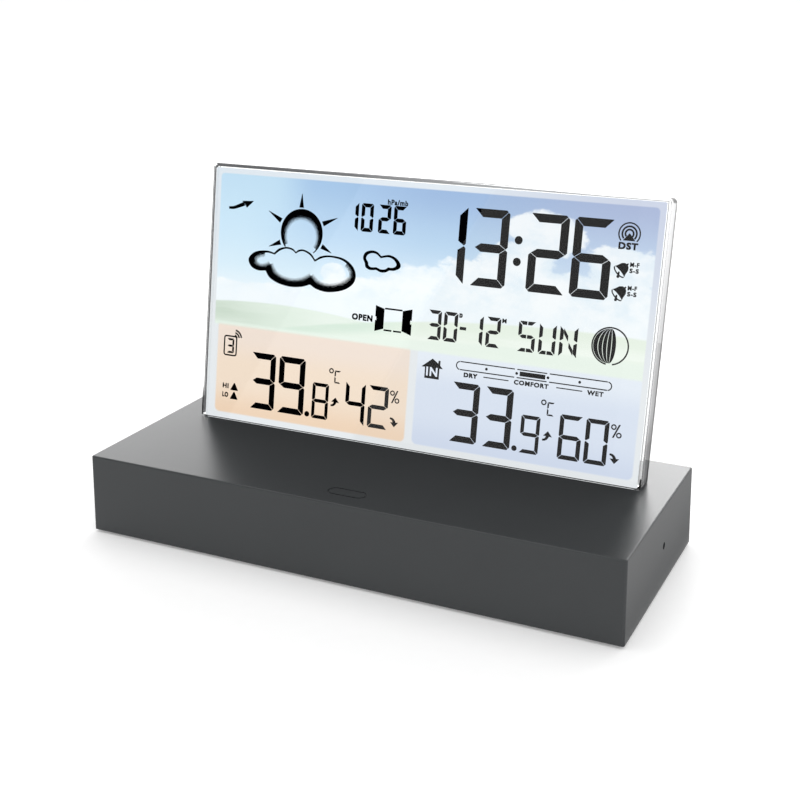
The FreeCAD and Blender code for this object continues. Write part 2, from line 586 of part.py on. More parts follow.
def touch_spring():
    wire_r = 0.35
    room = CEILING_Z - 0.35 - MAIN_Z1 - 2 * wire_r - 0.1
    return spring((0, TOUCH_Y, MAIN_Z1 + wire_r + 0.05), (0, 0, 1), TOUCH_SPRING_R, wire_r, 1.6, room)


def ferrite_rod():
    return rod(ROD_R, (ROD_X[0], ROD_Y, ROD_Z), (1, 0, 0), ROD_X[1] - ROD_X[0])


def aerial_coil():
    length = COIL_X[1] - COIL_X[0]
    outer = rod(COIL_R, (COIL_X[0], ROD_Y, ROD_Z), (1, 0, 0), length)
    return outer.cut(rod(ROD_R + GLUE, (COIL_X[0] - 1, ROD_Y, ROD_Z), (1, 0, 0), length + 2))


def aerial_leads():
    leads, middle, drop_x = [], (ROD_R + COIL_R) / 2, -17.5
    for y in (ROD_Y - middle, ROD_Y + middle):
        leads.append(lead([(COIL_X[1], y, ROD_Z), (drop_x, y, ROD_Z), (drop_x, y, MAIN_Z1)], 0.3))
    return leads


# ---------------------------------------------------------------- rear board, keys and power inlet
def rear_board():
    board = box(REAR_X, (REAR_Y0, REAR_Y1), REAR_Z)
    return cut(board, [rod(1.1, (x, REAR_Y0 - 1, z), (0, 1, 0), 4) for x, z in REAR_HOLES])


def rear_screws():
    return [screw((x, REAR_Y0, z), (0, 1, 0), 0.9, 6.0, 1.9, 1.2) for x, z in REAR_HOLES]


def link_cable():
    """Flat cable that passes under the cradle."""
    low = PLATE_Z1 + 1.3
    route = [(REAR_Y0 - 2.6, 8.4), (21.4, 8.4), (18.2, low), (7.6, low), (5.4, 5.9), (3.0, 5.9)]
    return strip(LINK_X, route, 0.3)


def key_switches():
    """Push switches with a square body; each stem is a part of its own."""
    switches, size, tall = [], 6.0, 3.4
    for x in key_xs():
        body = slab(x, REAR_Y1 + tall / 2, KEY_Z - size / 2, size, tall, size)
        bore = rod(2.1, (x, REAR_Y1 + 1.0, KEY_Z), (0, 1, 0), tall)
        switches.append(cut(body, [bore]))
    return switches


def switch_stem(x):
    return rod(1.75, (x, REAR_Y1 + 2.0, KEY_Z), (0, 1, 0), STEM_Y - REAR_Y1 - 2.0)


def key_cap(x):
    """A pill-shaped cap with a flange inside the wall and a post to its switch."""
    flange_y = (REAR_WALL_Y - 1.2, REAR_WALL_Y - 0.3)
    cap = pill(x, KEY_Z, KEY_W, KEY_H, (flange_y[0], CAP_Y))
    rim = [e for e in cap.Edges if e.BoundBox.YMin > CAP_Y - 0.01]
    cap = cap.makeFillet(0.35, rim)
    flange = pill(x, KEY_Z, KEY_W + 2.4, KEY_H + 2.4, flange_y)
    post = rod(1.6, (x, STEM_Y, KEY_Z), (0, 1, 0), flange_y[0] - STEM_Y + 0.2)
    return fuse([cap, flange, post])


def power_jack():
    """Barrel socket; its centre pin is a part of its own."""
    half, front = 4.0, REAR_WALL_Y - 0.2
    body = box((JACK_X - half, JACK_X + half), (REAR_Y1, front), (KEY_Z - half, KEY_Z + half))
    return cut(body, [rod(JACK_HOLE_R, (JACK_X, REAR_Y1 + 1.2, KEY_Z), (0, 1, 0), 9)])


def jack_pin():
    pin = rod(JACK_PIN_R, (JACK_X, REAR_Y1 + 1.2, KEY_Z), (0, 1, 0), 5.0)
    return pin.makeFillet(0.3, [e for e in pin.Edges if e.Closed and e.BoundBox.YMin > REAR_Y1 + 6])


# ---------------------------------------------------------------- climate sensor
def sensor_board():
    return box((SENSE_X, SENSE_X + SENSE_T), SENSE_Y, (PLATE_Z1, SENSE_Z1))


def climate_sensor():
    half, x = 1.5, SENSE_X + SENSE_T
    body = box((x, x + 1.3), (VENT_Y - half, VENT_Y + half), (MID_Z - half, MID_Z + half))
    return cut(body, [rod(0.6, (x + 0.9, VENT_Y, MID_Z), (1, 0, 0), 1)])


def sensor_leads():
    start_x, level = 77.5, MAIN_Z1 + 3.5
    return [lead([(start_x, y, MAIN_Z1), (start_x, y, level), (SENSE_X, y, level)], 0.4)
            for y in (-7.0, -5.6, -4.2)]


# ---------------------------------------------------------------- the whole part
def parts():
    """Every node's name, with its solid or list of solids."""
    makers = [
        front_glass, lcd_cell, colour_film, diffuser_sheet, light_guide_block, lcd_ribbon, panel_cradle,
        cradle_screws, panel_pins, led_board, backlight_leds, led_leads, base_cover, base_plate,
        battery_door, rubber_feet, base_screws, battery_cells, battery_contacts, battery_springs,
        battery_leads, main_board,
        board_screws, display_driver, clock_crystal, smoothing_capacitor, radio_module, radio_aerial,
        buzzer, board_connectors, touch_electrode, touch_spring, ferrite_rod, aerial_coil, aerial_leads,
        rear_board, rear_screws, link_cable, key_switches, power_jack, jack_pin, sensor_board,
        climate_sensor, sensor_leads,
    ]
    nodes = {make.__name__: make() for make in makers}
    for number, x in enumerate(key_xs(), start=1):
        nodes[f"key_cap_{number}"] = key_cap(x)
        nodes[f"switch_stem_{number}"] = switch_stem(x)
    return nodes


os.makedirs("parts", exist_ok=True)
for name, shape in parts().items():
    solid = Part.makeCompound(shape) if isinstance(shape, list) else shape
    solid.exportStep(f"parts/{name}.step")
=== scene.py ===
import json
import math

import bmesh
import bpy
from mathutils import Matrix, Vector

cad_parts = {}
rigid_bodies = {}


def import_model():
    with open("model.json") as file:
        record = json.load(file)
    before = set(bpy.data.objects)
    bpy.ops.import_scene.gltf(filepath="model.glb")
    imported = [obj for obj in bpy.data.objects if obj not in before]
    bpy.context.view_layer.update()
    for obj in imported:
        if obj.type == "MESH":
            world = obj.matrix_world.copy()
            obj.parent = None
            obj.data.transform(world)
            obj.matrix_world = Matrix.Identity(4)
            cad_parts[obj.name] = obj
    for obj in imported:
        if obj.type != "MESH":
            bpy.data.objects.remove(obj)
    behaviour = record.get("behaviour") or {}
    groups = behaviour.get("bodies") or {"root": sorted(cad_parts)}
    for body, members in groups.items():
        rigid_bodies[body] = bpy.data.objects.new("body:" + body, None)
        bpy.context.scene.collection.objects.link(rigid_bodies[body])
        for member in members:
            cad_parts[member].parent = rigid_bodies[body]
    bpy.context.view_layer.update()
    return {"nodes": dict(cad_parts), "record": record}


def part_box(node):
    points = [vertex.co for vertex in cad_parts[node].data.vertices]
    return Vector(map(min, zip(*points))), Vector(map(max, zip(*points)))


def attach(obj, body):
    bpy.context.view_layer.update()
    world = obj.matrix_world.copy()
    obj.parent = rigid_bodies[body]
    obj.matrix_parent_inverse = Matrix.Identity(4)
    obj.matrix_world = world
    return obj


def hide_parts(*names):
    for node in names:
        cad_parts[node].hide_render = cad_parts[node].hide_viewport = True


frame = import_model()
STATION = "station"

# ---------------------------------------------------------------- the panel's own frame
MM = 0.001
LEAN = math.radians(10.2)
TOP_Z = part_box("base_cover")[1].z
PANEL_X, PANEL_Y = 0.001, 0.0107  # the panel's middle, and where its front face meets the top of the base
GLASS_T = 1.5  # the front plate's thickness, in millimetres, as are the lengths below
SHEET_LEFT, SHEET_RIGHT = 78.7, 77.9  # the printed sheet's reach to each side of the panel's middle
PICTURE_FOOT, PICTURE_TOP = 0.35, 86.95  # the printed sheet's lower and upper edges, up the panel
SEGMENT_DEPTH = GLASS_T - 0.1  # just inside the front plate, where the segments show as clean black
PICTURE_DEPTH, MASK_DEPTH = GLASS_T + 0.16, GLASS_T + 0.3
SHEET_T, SHEET_CORNER = 0.04, 0.6
SEGMENT_GAP = 0.13
SEEN_SCALE, SEEN_LEFT, SEEN_DOWN = 1.0022, 0.45, 0.13  # how the front plate shifts what lies behind it
PICTURE_GLOW = 1.06
GLOSS_SHADE = 0.075  # painted shade: how much darker the picture's glow is made beyond the slanted gloss
EDGE_START, EDGE_SLOPE = -20.0, 0.5  # where the panel's slanted gloss begins, in x, and how it leans with u


def on_panel(x, up, depth):
    """A point given in millimetres across, up and behind the panel's front face, in metres."""
    y = PANEL_Y + MM * (depth * math.cos(LEAN) + up * math.sin(LEAN))
    return Vector((PANEL_X + x * MM, y, TOP_Z + MM * (up * math.cos(LEAN) - depth * math.sin(LEAN))))


def seen_through(x, up):
    """Where a mark lies on the display so that it's seen at (x, up) through the front plate."""
    return SEEN_SCALE * x - SEEN_LEFT, up - SEEN_DOWN


# ---------------------------------------------------------------- node helpers
def linear(r, g, b):
    """An sRGB colour given in 0 to 255, as linear values with alpha."""
    def channel(c):
        c /= 255
        return c / 12.92 if c <= 0.04045 else ((c + 0.055) / 1.055) ** 2.4

    return (channel(r), channel(g), channel(b), 1.0)


def grey(level):
    """A linear grey with alpha."""
    return (level, level, level, 1.0)


class Wire:
    """A node socket that can be added, multiplied and so on."""

    def __init__(self, tree, socket):
        self.tree, self.socket = tree, socket

    def math(self, operation, *others):
        node = self.tree.nodes.new("ShaderNodeMath")
        node.operation = operation
        self.tree.links.new(self.socket, node.inputs[0])
        for slot, other in enumerate(others, start=1):
            if isinstance(other, Wire):
                self.tree.links.new(other.socket, node.inputs[slot])
            else:
                node.inputs[slot].default_value = other
        return Wire(self.tree, node.outputs[0])

    def __add__(self, other):
        return self.math("ADD", other)

    def __sub__(self, other):
        return self.math("SUBTRACT", other)

    def __mul__(self, other):
        return self.math("MULTIPLY", other)

    def __truediv__(self, other):
        return self.math("DIVIDE", other)

    def power(self, other):
        return self.math("POWER", other)

    def absolute(self):
        return self.math("ABSOLUTE")

    def ramp(self, low, high):
        """0 below low, 1 above high, and smooth between; low may be above high."""
        node = self.tree.nodes.new("ShaderNodeMapRange")
        node.interpolation_type = "SMOOTHSTEP"
        self.tree.links.new(self.socket, node.inputs["Value"])
        for name, value in (("From Min", low), ("From Max", high)):
            if isinstance(value, Wire):
                self.tree.links.new(value.socket, node.inputs[name])
            else:
                node.inputs[name].default_value = value
        return Wire(self.tree, node.outputs["Result"])


class Material:
    """A node material built round one Principled shader."""

    def __init__(self, name, **settings):
        self.material = bpy.data.materials.new(name)
        self.material.use_nodes = True
        self.tree = self.material.node_tree
        self.shader = self.tree.nodes["Principled BSDF"]
        for key, value in settings.items():
            self.shader.inputs[key.replace("_", " ").title().replace("Ior", "IOR")].default_value = value
        place = self.tree.nodes.new("ShaderNodeTexCoord")
        self.place = place.outputs["Object"]

    def axes(self):
        node = self.tree.nodes.new("ShaderNodeSeparateXYZ")
        self.tree.links.new(self.place, node.inputs[0])
        return [Wire(self.tree, node.outputs[k]) for k in range(3)]

    def point(self, x, y, z=0.0):
        node = self.tree.nodes.new("ShaderNodeCombineXYZ")
        for slot, value in enumerate((x, y, z)):
            if isinstance(value, Wire):
                self.tree.links.new(value.socket, node.inputs[slot])
            else:
                node.inputs[slot].default_value = value
        return node.outputs[0]

    def noise(self, scale, detail=2.0, at=None, roughness=0.5):
        node = self.tree.nodes.new("ShaderNodeTexNoise")
        node.inputs["Scale"].default_value = scale
        node.inputs["Detail"].default_value = detail
        node.inputs["Roughness"].default_value = roughness
        self.tree.links.new(at or self.place, node.inputs["Vector"])
        return Wire(self.tree, node.outputs[0])

    def mix(self, amount, first, second):
        node = self.tree.nodes.new("ShaderNodeMix")
        node.data_type = "RGBA"
        for slot, value in ((0, amount), (6, first), (7, second)):
            if isinstance(value, Wire):
                self.tree.links.new(value.socket, node.inputs[slot])
            else:
                node.inputs[slot].default_value = value
        return Wire(self.tree, node.outputs[2])

    def set(self, name, wire):
        self.tree.links.new(wire.socket, self.shader.inputs[name])

    def bump(self, height, strength, distance):
        node = self.tree.nodes.new("ShaderNodeBump")
        node.inputs["Strength"].default_value = strength
        node.inputs["Distance"].default_value = distance
        self.tree.links.new(height.socket, node.inputs["Height"])
        self.tree.links.new(node.outputs[0], self.shader.inputs["Normal"])


# ---------------------------------------------------------------- materials of the body
def moulded_plastic(name, colour, roughness, grain=0.00026, depth=0.00002, spread=0.16, ior=1.5):
    """Satin moulded plastic with a fine spark-eroded grain."""
    made = Material(name, roughness=roughness, ior=ior)
    fine, broad = made.noise(1 / grain, 3.0), made.noise(40.0, 2.0)
    dark = tuple(c * (1 - spread) for c in colour[:3]) + (1.0,)
    light = tuple(c * (1 + spread) for c in colour[:3]) + (1.0,)
    made.set("Base Color", made.mix(fine * 0.6 + broad * 0.4, dark, light))
    made.set("Roughness", fine * 0.12 + (roughness - 0.06))
    made.bump(fine, 0.5, depth)
    return made.material


def clear_acrylic():
    made = Material("clear_acrylic", roughness=0.0, ior=1.49, transmission_weight=1.0,
                    base_color=(0.985, 0.992, 0.99, 1.0))
    made.bump(made.noise(90.0, 1.0), 0.02, 0.00002)
    return made.material


def metal(name, colour, roughness):
    made = Material(name, metallic=1.0)
    scratches = made.noise(900.0, 4.0)
    made.set("Base Color", made.mix(scratches, colour, tuple(c * 0.8 for c in colour[:3]) + (1.0,)))
    made.set("Roughness", scratches * 0.2 + (roughness - 0.1))
    made.bump(scratches, 0.15, 0.00001)
    return made.material


def solder_mask():
    """Green lacquer over copper tracks that show as slightly raised, lighter lines."""
    made = Material("solder_mask", roughness=0.3, coat_weight=0.3)
    x, y, z = made.axes()
    tracks = ((x * 900.0).math("SINE") * (y * 700.0 + z * 500.0).math("SINE")).ramp(0.3, 0.4)
    made.set("Base Color", made.mix(tracks, (0.01, 0.09, 0.035, 1.0), (0.02, 0.2, 0.07, 1.0)))
    made.bump(tracks, 0.3, 0.00003)
    return made.material


def paint_nodes():
    """Gives every CAD node that stays its finish."""
    looks = {
        "base_plastic": moulded_plastic("base_plastic", (0.041, 0.044, 0.046, 1.0), 0.34, ior=1.36),
        "inner_plastic": moulded_plastic("inner_plastic", (0.012, 0.012, 0.013, 1.0), 0.5),
        "key_plastic": moulded_plastic("key_plastic", (0.05, 0.053, 0.057, 1.0), 0.42),
        "foot_rubber": moulded_plastic("foot_rubber", (0.02, 0.02, 0.02, 1.0), 0.8, 0.0003, 0.00003),
        "white_plastic": moulded_plastic("white_plastic", (0.75, 0.74, 0.7, 1.0), 0.45),
        "white_diffuser": moulded_plastic("white_diffuser", (0.82, 0.84, 0.85, 1.0), 0.6),
        "chip_resin": moulded_plastic("chip_resin", (0.015, 0.015, 0.016, 1.0), 0.55),
        "flex_film": moulded_plastic("flex_film", (0.5, 0.2, 0.03, 1.0), 0.35),
        "wire_sleeve": moulded_plastic("wire_sleeve", (0.35, 0.02, 0.015, 1.0), 0.45),
        "ferrite": moulded_plastic("ferrite", (0.03, 0.03, 0.033, 1.0), 0.7),
        "cell_sleeve": moulded_plastic("cell_sleeve", (0.03, 0.06, 0.12, 1.0), 0.25),
        "screw_steel": metal("screw_steel", (0.6, 0.6, 0.58, 1.0), 0.32),
        "spring_steel": metal("spring_steel", (0.7, 0.69, 0.66, 1.0), 0.25),
        "bright_metal": metal("bright_metal", (0.75, 0.75, 0.76, 1.0), 0.3),
        "copper_wire": metal("copper_wire", (0.8, 0.38, 0.2, 1.0), 0.3),
        "circuit_board": solder_mask(),
        "clear_acrylic": clear_acrylic(),
    }
    for part in frame["record"]["subparts"]:
        look = looks.get(part["material_slot"])
        slots = frame["nodes"][part["node"]].data.materials
        for k in range(len(slots)):
            slots[k] = look or slots[k]


# ---------------------------------------------------------------- flat shapes on the display
def inset(points, gap):
    """A convex outline, given anticlockwise, moved inwards by gap on every side."""
    points = [Vector(p) for p in points]
    count = len(points)
    lines = []
    for k in range(count):
        start, end = points[k], points[(k + 1) % count]
        along = (end - start).normalized()
        inwards = Vector((-along.y, along.x))
        lines.append((start + inwards * gap, along))
    moved = []
    for k in range(count):
        (p, d), (q, e) = lines[k - 1], lines[k]
        cross = d.x * e.y - d.y * e.x
        moved.append(p + d * (((q - p).x * e.y - (q - p).y * e.x) / cross))
    return moved


class Drawing:
    """Thin solid shapes laid out in millimetres on a plane of the panel."""

    def __init__(self, name, depth=SEGMENT_DEPTH, thickness=SHEET_T):
        self.name, self.depth, self.thickness = name, depth, thickness
        self.bm = bmesh.new()

    def layer(self, points, depth):
        return [self.bm.verts.new(on_panel(*seen_through(p[0], p[1]), depth)) for p in points]

    def shape(self, points):
        """A filled outline, given anticlockwise."""
        self.prism(self.layer(points, self.depth), self.layer(points, self.depth + self.thickness))

    def plain(self, points):
        """A filled outline put where it is, without the front plate's shift."""
        front = [self.bm.verts.new(on_panel(x, u, self.depth)) for x, u in points]
        back = [self.bm.verts.new(on_panel(x, u, self.depth + self.thickness)) for x, u in points]
        self.prism(front, back)

    def prism(self, front, back):
        """The solid between two outlines of mesh vertices."""
        self.bm.faces.new(front)
        self.bm.faces.new(back[::-1])
        count = len(front)
        for k in range(count):
            n = (k + 1) % count
            self.bm.faces.new((front[n], front[k], back[k], back[n]))

    def band(self, outer, inner, closed=True):
        """The strip between two outlines with the same number of points."""
        rings = []
        for depth in (self.depth, self.depth + self.thickness):
            rings.append((self.layer(outer, depth), self.layer(inner, depth)))
        (fo, fi), (bo, bi) = rings
        count = len(outer)
        for k in range(count if closed else count - 1):
            n = (k + 1) % count
            self.bm.faces.new((fo[k], fo[n], fi[n], fi[k]))
            self.bm.faces.new((bo[n], bo[k], bi[k], bi[n]))
            self.bm.faces.new((fo[n], fo[k], bo[k], bo[n]))
            self.bm.faces.new((fi[k], fi[n], bi[n], bi[k]))
        if not closed:
            self.bm.faces.new((fo[0], fi[0], bi[0], bo[0]))
            self.bm.faces.new((fi[-1], fo[-1], bo[-1], bi[-1]))

    def box(self, x0, x1, u0, u1):
        self.shape([(x0, u0), (x1, u0), (x1, u1), (x0, u1)])

    def disc(self, x, u, radius, sides=24):
        self.shape(arc(x, u, radius, 0, 360, sides)[:-1])

    def ring(self, x, u, radius, stroke, start=0, end=360, sides=40):
        outer = arc(x, u, radius + stroke / 2, start, end, sides)
        inner = arc(x, u, radius - stroke / 2, start, end, sides)
        if end - start == 360:
            self.band(outer[:-1], inner[:-1])
        else:
            self.band(outer, inner, closed=False)

    def label(self, text, x0, x1, u0, u1, weight=0.01, bold=0.1):
        """Text scaled to fill a box."""
        curve = bpy.data.curves.new("label", "FONT")
        curve.body, curve.offset, curve.resolution_u = text, weight, 3
        curve.extrude, curve.space_character = 0.5, 1.15
        holder = bpy.data.objects.new("label", curve)
        flat = bpy.data.meshes.new_from_object(holder)
        xs, ys = [v.co.x for v in flat.vertices], [v.co.y for v in flat.vertices]
        low_x, low_y, wide, high = min(xs), min(ys), max(xs) - min(xs), max(ys) - min(ys)
        corners = [math.pi * (0.25 + k / 2) for k in range(4)]
        shifts = [(bold * math.cos(a), bold * math.sin(a)) for a in corners] + [(0.0, 0.0)]
        for copy, (slide, rise) in enumerate(shifts):  # printed five times, a little apart, for a bold face
            mesh = flat.copy()
            for v in mesh.vertices:
                across = x0 + bold + (v.co.x - low_x) / wide * (x1 - x0 - 2 * bold) + slide
                up = u0 + bold + (v.co.y - low_y) / high * (u1 - u0 - 2 * bold) + rise
                back = self.thickness if v.co.z < 0 else 0.0
                v.co = on_panel(*seen_through(across, up), self.depth + back + 0.004 * copy)
            self.bm.from_mesh(mesh)
            bpy.data.meshes.remove(mesh)
        bpy.data.objects.remove(holder)
        bpy.data.curves.remove(curve)
        bpy.data.meshes.remove(flat)

    def build(self, material):
        bmesh.ops.remove_doubles(self.bm, verts=self.bm.verts, dist=1e-7)
        bmesh.ops.recalc_face_normals(self.bm, faces=self.bm.faces)
        mesh = bpy.data.meshes.new(self.name)
        self.bm.to_mesh(mesh)
        self.bm.free()
        mesh.materials.append(material)
        piece = bpy.data.objects.new(self.name, mesh)
        bpy.context.scene.collection.objects.link(piece)
        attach(piece, STATION)
        return piece


def arc(x, u, radius, start, end, steps=16):
    """Points on an arc, anticlockwise, with angles in degrees from +X."""
    points = []
    for k in range(steps + 1):
        angle = math.radians(start + (end - start) * k / steps)
        points.append((x + radius * math.cos(angle), u + radius * math.sin(angle)))
    return points


# ---------------------------------------------------------------- seven-segment digits
SEGMENTS = {
    "0": "abcdef", "1": "bc", "2": "abged", "3": "abgcd", "4": "fgbc", "5": "afgcd", "6": "afgedc",
    "8": "abcdefg", "9": "abcdfg", "S": "afgcd", "U": "bcdef", "N": "bcef", "C": "adef",
}


def clipped(points, limit, side):
    """The part of a convex outline with x below limit for side 1, or above it for side -1."""
    made = []
    for a, b in zip(points, points[1:] + points[:1]):
        inside_a, inside_b = (limit - a[0]) * side > 0, (limit - b[0]) * side > 0
        if inside_a:
            made.append(a)
        if inside_a != inside_b:
            t = (limit - a[0]) / (b[0] - a[0])
            made.append((limit, a[1] + (b[1] - a[1]) * t))
    return made


def digit(drawing, sign, x0, x1, u0, u1, stroke, gap=SEGMENT_GAP, split=False):
    """One seven-segment figure that fills a box, with mitred ends and softened outer corners."""
    lit = SEGMENTS[sign]
    half = gap / 2
    x0, x1, u0, u1 = x0 - half, x1 + half, u0 - half, u1 + half
    mid, s = (u0 + u1) / 2, stroke + gap

    def soft(*pair):
        return 0.42 * s if all(p in lit for p in pair) else 0.12 * s

    tl, tr, bl, br = soft("a", "f"), soft("a", "b"), soft("d", "e"), soft("d", "c")
    tip, h = 0.25 * s, s / 2
    shapes = {
        "a": [(x1 - s, u1 - s), (x1 - tr / 2, u1 - tr / 2), (x1 - tr, u1), (x0 + tl, u1),
              (x0 + tl / 2, u1 - tl / 2), (x0 + s, u1 - s)],
        "b": [(x1 - s, mid + h), (x1 - tip, mid), (x1, mid + tip), (x1, u1 - tr),
              (x1 - tr / 2, u1 - tr / 2), (x1 - s, u1 - s)],
        "c": [(x1 - s, u0 + s), (x1 - br / 2, u0 + br / 2), (x1, u0 + br), (x1, mid - tip),
              (x1 - tip, mid), (x1 - s, mid - h)],
        "d": [(x0 + s, u0 + s), (x0 + bl / 2, u0 + bl / 2), (x0 + bl, u0), (x1 - br, u0),
              (x1 - br / 2, u0 + br / 2), (x1 - s, u0 + s)],
        "e": [(x0 + s, mid - h), (x0 + tip, mid), (x0, mid - tip), (x0, u0 + bl),
              (x0 + bl / 2, u0 + bl / 2), (x0 + s, u0 + s)],
        "f": [(x0 + s, u1 - s), (x0 + tl / 2, u1 - tl / 2), (x0, u1 - tl), (x0, mid + tip),
              (x0 + tip, mid), (x0 + s, mid + h)],
        "g": [(x0 + s, mid - h), (x1 - s, mid - h), (x1 - tip, mid), (x1 - s, mid + h),
              (x0 + s, mid + h), (x0 + tip, mid)],
    }
    for name in lit:
        if split and name in "adg":
            middle = (x0 + x1) / 2
            drawing.shape(inset(clipped(shapes[name], middle, 1), half))
            drawing.shape(inset(clipped(shapes[name], middle, -1), half))
        else:
            drawing.shape(inset(shapes[name], half))


def turned(points, angle, x, u, scale):
    """Points drawn round the origin, turned by angle in degrees, scaled and put at (x, u)."""
    c, s = math.cos(math.radians(angle)) * scale, math.sin(math.radians(angle)) * scale
    return [(x + c * p[0] - s * p[1], u + s * p[0] + c * p[1]) for p in points]


def curve(points, steps=6):
    """A smooth open curve through the points."""
    ends = [2 * Vector(points[0]) - Vector(points[1])], [2 * Vector(points[-1]) - Vector(points[-2])]
    p = ends[0] + [Vector(q) for q in points] + ends[1]
    made = []
    for k in range(1, len(p) - 2):
        for step in range(steps):
            t = step / steps
            a, b, c, d = p[k - 1:k + 3]
            made.append(0.5 * (2 * b + (c - a) * t + (2 * a - 5 * b + 4 * c - d) * t * t
                               + (3 * b - a - 3 * c + d) * t ** 3))
    return made + [p[-2]]


def lobes(parts):
    """A closed outline made of smooth lobes that meet at notches."""
    made = []
    for part in parts:
        made += curve(part)[:-1]
    return made


def ribbon(drawing, points, start, end):
    """A strip along a smooth path whose width runs from start to end."""
    path = curve(points)
    left, right = [], []
    for k, p in enumerate(path):
        along = (path[min(k + 1, len(path) - 1)] - path[max(k - 1, 0)]).normalized()
        half = (start + (end - start) * k / (len(path) - 1)) / 2
        side = Vector((-along.y, along.x)) * half
        left.append(p + side)
        right.append(p - side)
    drawing.band(right, left, closed=False)


def stipple(drawing, path, rows=7, pitch=0.36, size=0.2, spacing=0.2):
    """Rows of small diamonds that shrink towards the left of a path."""
    length, samples = 0.0, []
    for a, b in zip(path, path[1:]):
        a, b = Vector(a), Vector(b)
        step = (b - a).length
        while length < step:
            along = (b - a).normalized()
            samples.append((a + along * length, Vector((-along.y, along.x))))
            length += pitch
        length -= step
    for row in range(rows):
        radius = size * (1 - 0.78 * row / rows)
        for p, inwards in samples:
            along = Vector((inwards.y, -inwards.x))
            middle = p + inwards * (0.08 + row * spacing) + along * (pitch / 2 * (row % 2))
            drawing.shape([middle + Vector(q) * radius for q in ((0, -1), (1, 0), (0, 1), (-1, 0))])


def number(drawing, text, places, u0, u1, stroke, gap=SEGMENT_GAP, split=False):
    """Several figures, each between the two x values of its place."""
    for sign, (x0, x1) in zip(text, places):
        digit(drawing, sign, x0, x1, u0, u1, stroke, gap, split)


def percent(drawing, x0, x1, u0, u1):
    """A per cent sign that fills a box."""
    drawing.ring(x0 + 0.7, u1 - 0.95, 0.68, 0.42, sides=20)
    drawing.ring(x1 - 0.7, u0 + 0.95, 0.68, 0.42, sides=20)
    drawing.shape([(x0 + 0.4, u0), (x0 + 0.95, u0), (x1 - 0.4, u1), (x1 - 0.95, u1)])


def celsius(drawing, x, u):
    """A small ring and a squared C whose left edge is at x and foot at u."""
    drawing.ring(x - 1.25, u + 4.0, 0.7, 0.42, sides=20)
    digit(drawing, "C", x, x + 2.35, u - 0.05, u + 4.3, 0.5, 0.1)


def bent_arrow(drawing, x0, x1, u0, u1, rising):
    """A short curved arrow, for a value that rises or falls."""
    def at(x, up):
        height = u0 + up * (u1 - u0)
        return x0 + x * (x1 - x0), height if rising else u0 + u1 - height

    path = [at(0.0, 0.12), at(0.3, 0.2), at(0.5, 0.42), at(0.56, 0.66)]
    ribbon(drawing, path if rising else path[::-1], *((0.6, 1.15) if rising else (1.15, 0.6)))
    head = [at(0.06, 0.54), at(1.04, 0.48), at(0.55, 1.02)]
    drawing.shape(head if rising else head[::-1])


def warning(drawing, x0, x1, u0, u1):
    """A plain triangle with blunt corners."""
    drawing.shape([(x0, u0), (x1, u0), (x1, u0 + 0.25), ((x0 + x1) / 2 + 0.15, u1),
                   ((x0 + x1) / 2 - 0.15, u1), (x0, u0 + 0.25)])


def bell(drawing, x, u):
    """A tilted bell with an open mouth and a clapper."""
    tilt, size, rim = -44, 4.6, -0.22  # degrees, millimetres, and the rim's height as a share of the size
    behind = [math.pi * (1 - k / 8) for k in range(1, 8)]
    in_front = [math.pi * (1 + k / 12) for k in range(13)]

    def placed(points):
        return turned(points, tilt, x, u, size)

    def oval(wide, deep, level, angles):
        return [(wide * math.cos(a), level + deep * math.sin(a)) for a in angles]

    dome = [(0.5, rim), (0.4, 0.0), (0.33, 0.28), (0.2, 0.44), (0.06, 0.5), (0.04, 0.6), (-0.04, 0.6),
            (-0.06, 0.5), (-0.2, 0.44), (-0.33, 0.28), (-0.4, 0.0), (-0.5, rim)]
    drawing.shape(placed(dome + oval(0.5, 0.1, rim, behind)))
    mouth, inside = oval(0.5, 0.21, rim, in_front), oval(0.41, 0.13, -0.21, in_front)
    drawing.band(placed(mouth), placed(inside), closed=False)
    ribbon(drawing, placed([(-0.02, rim), (0.08, -0.34), (0.17, -0.46)]), 0.5, 0.75)
    (end_x, end_u), = placed([(0.18, -0.48)])
    drawing.disc(end_x, end_u, 0.45, 14)


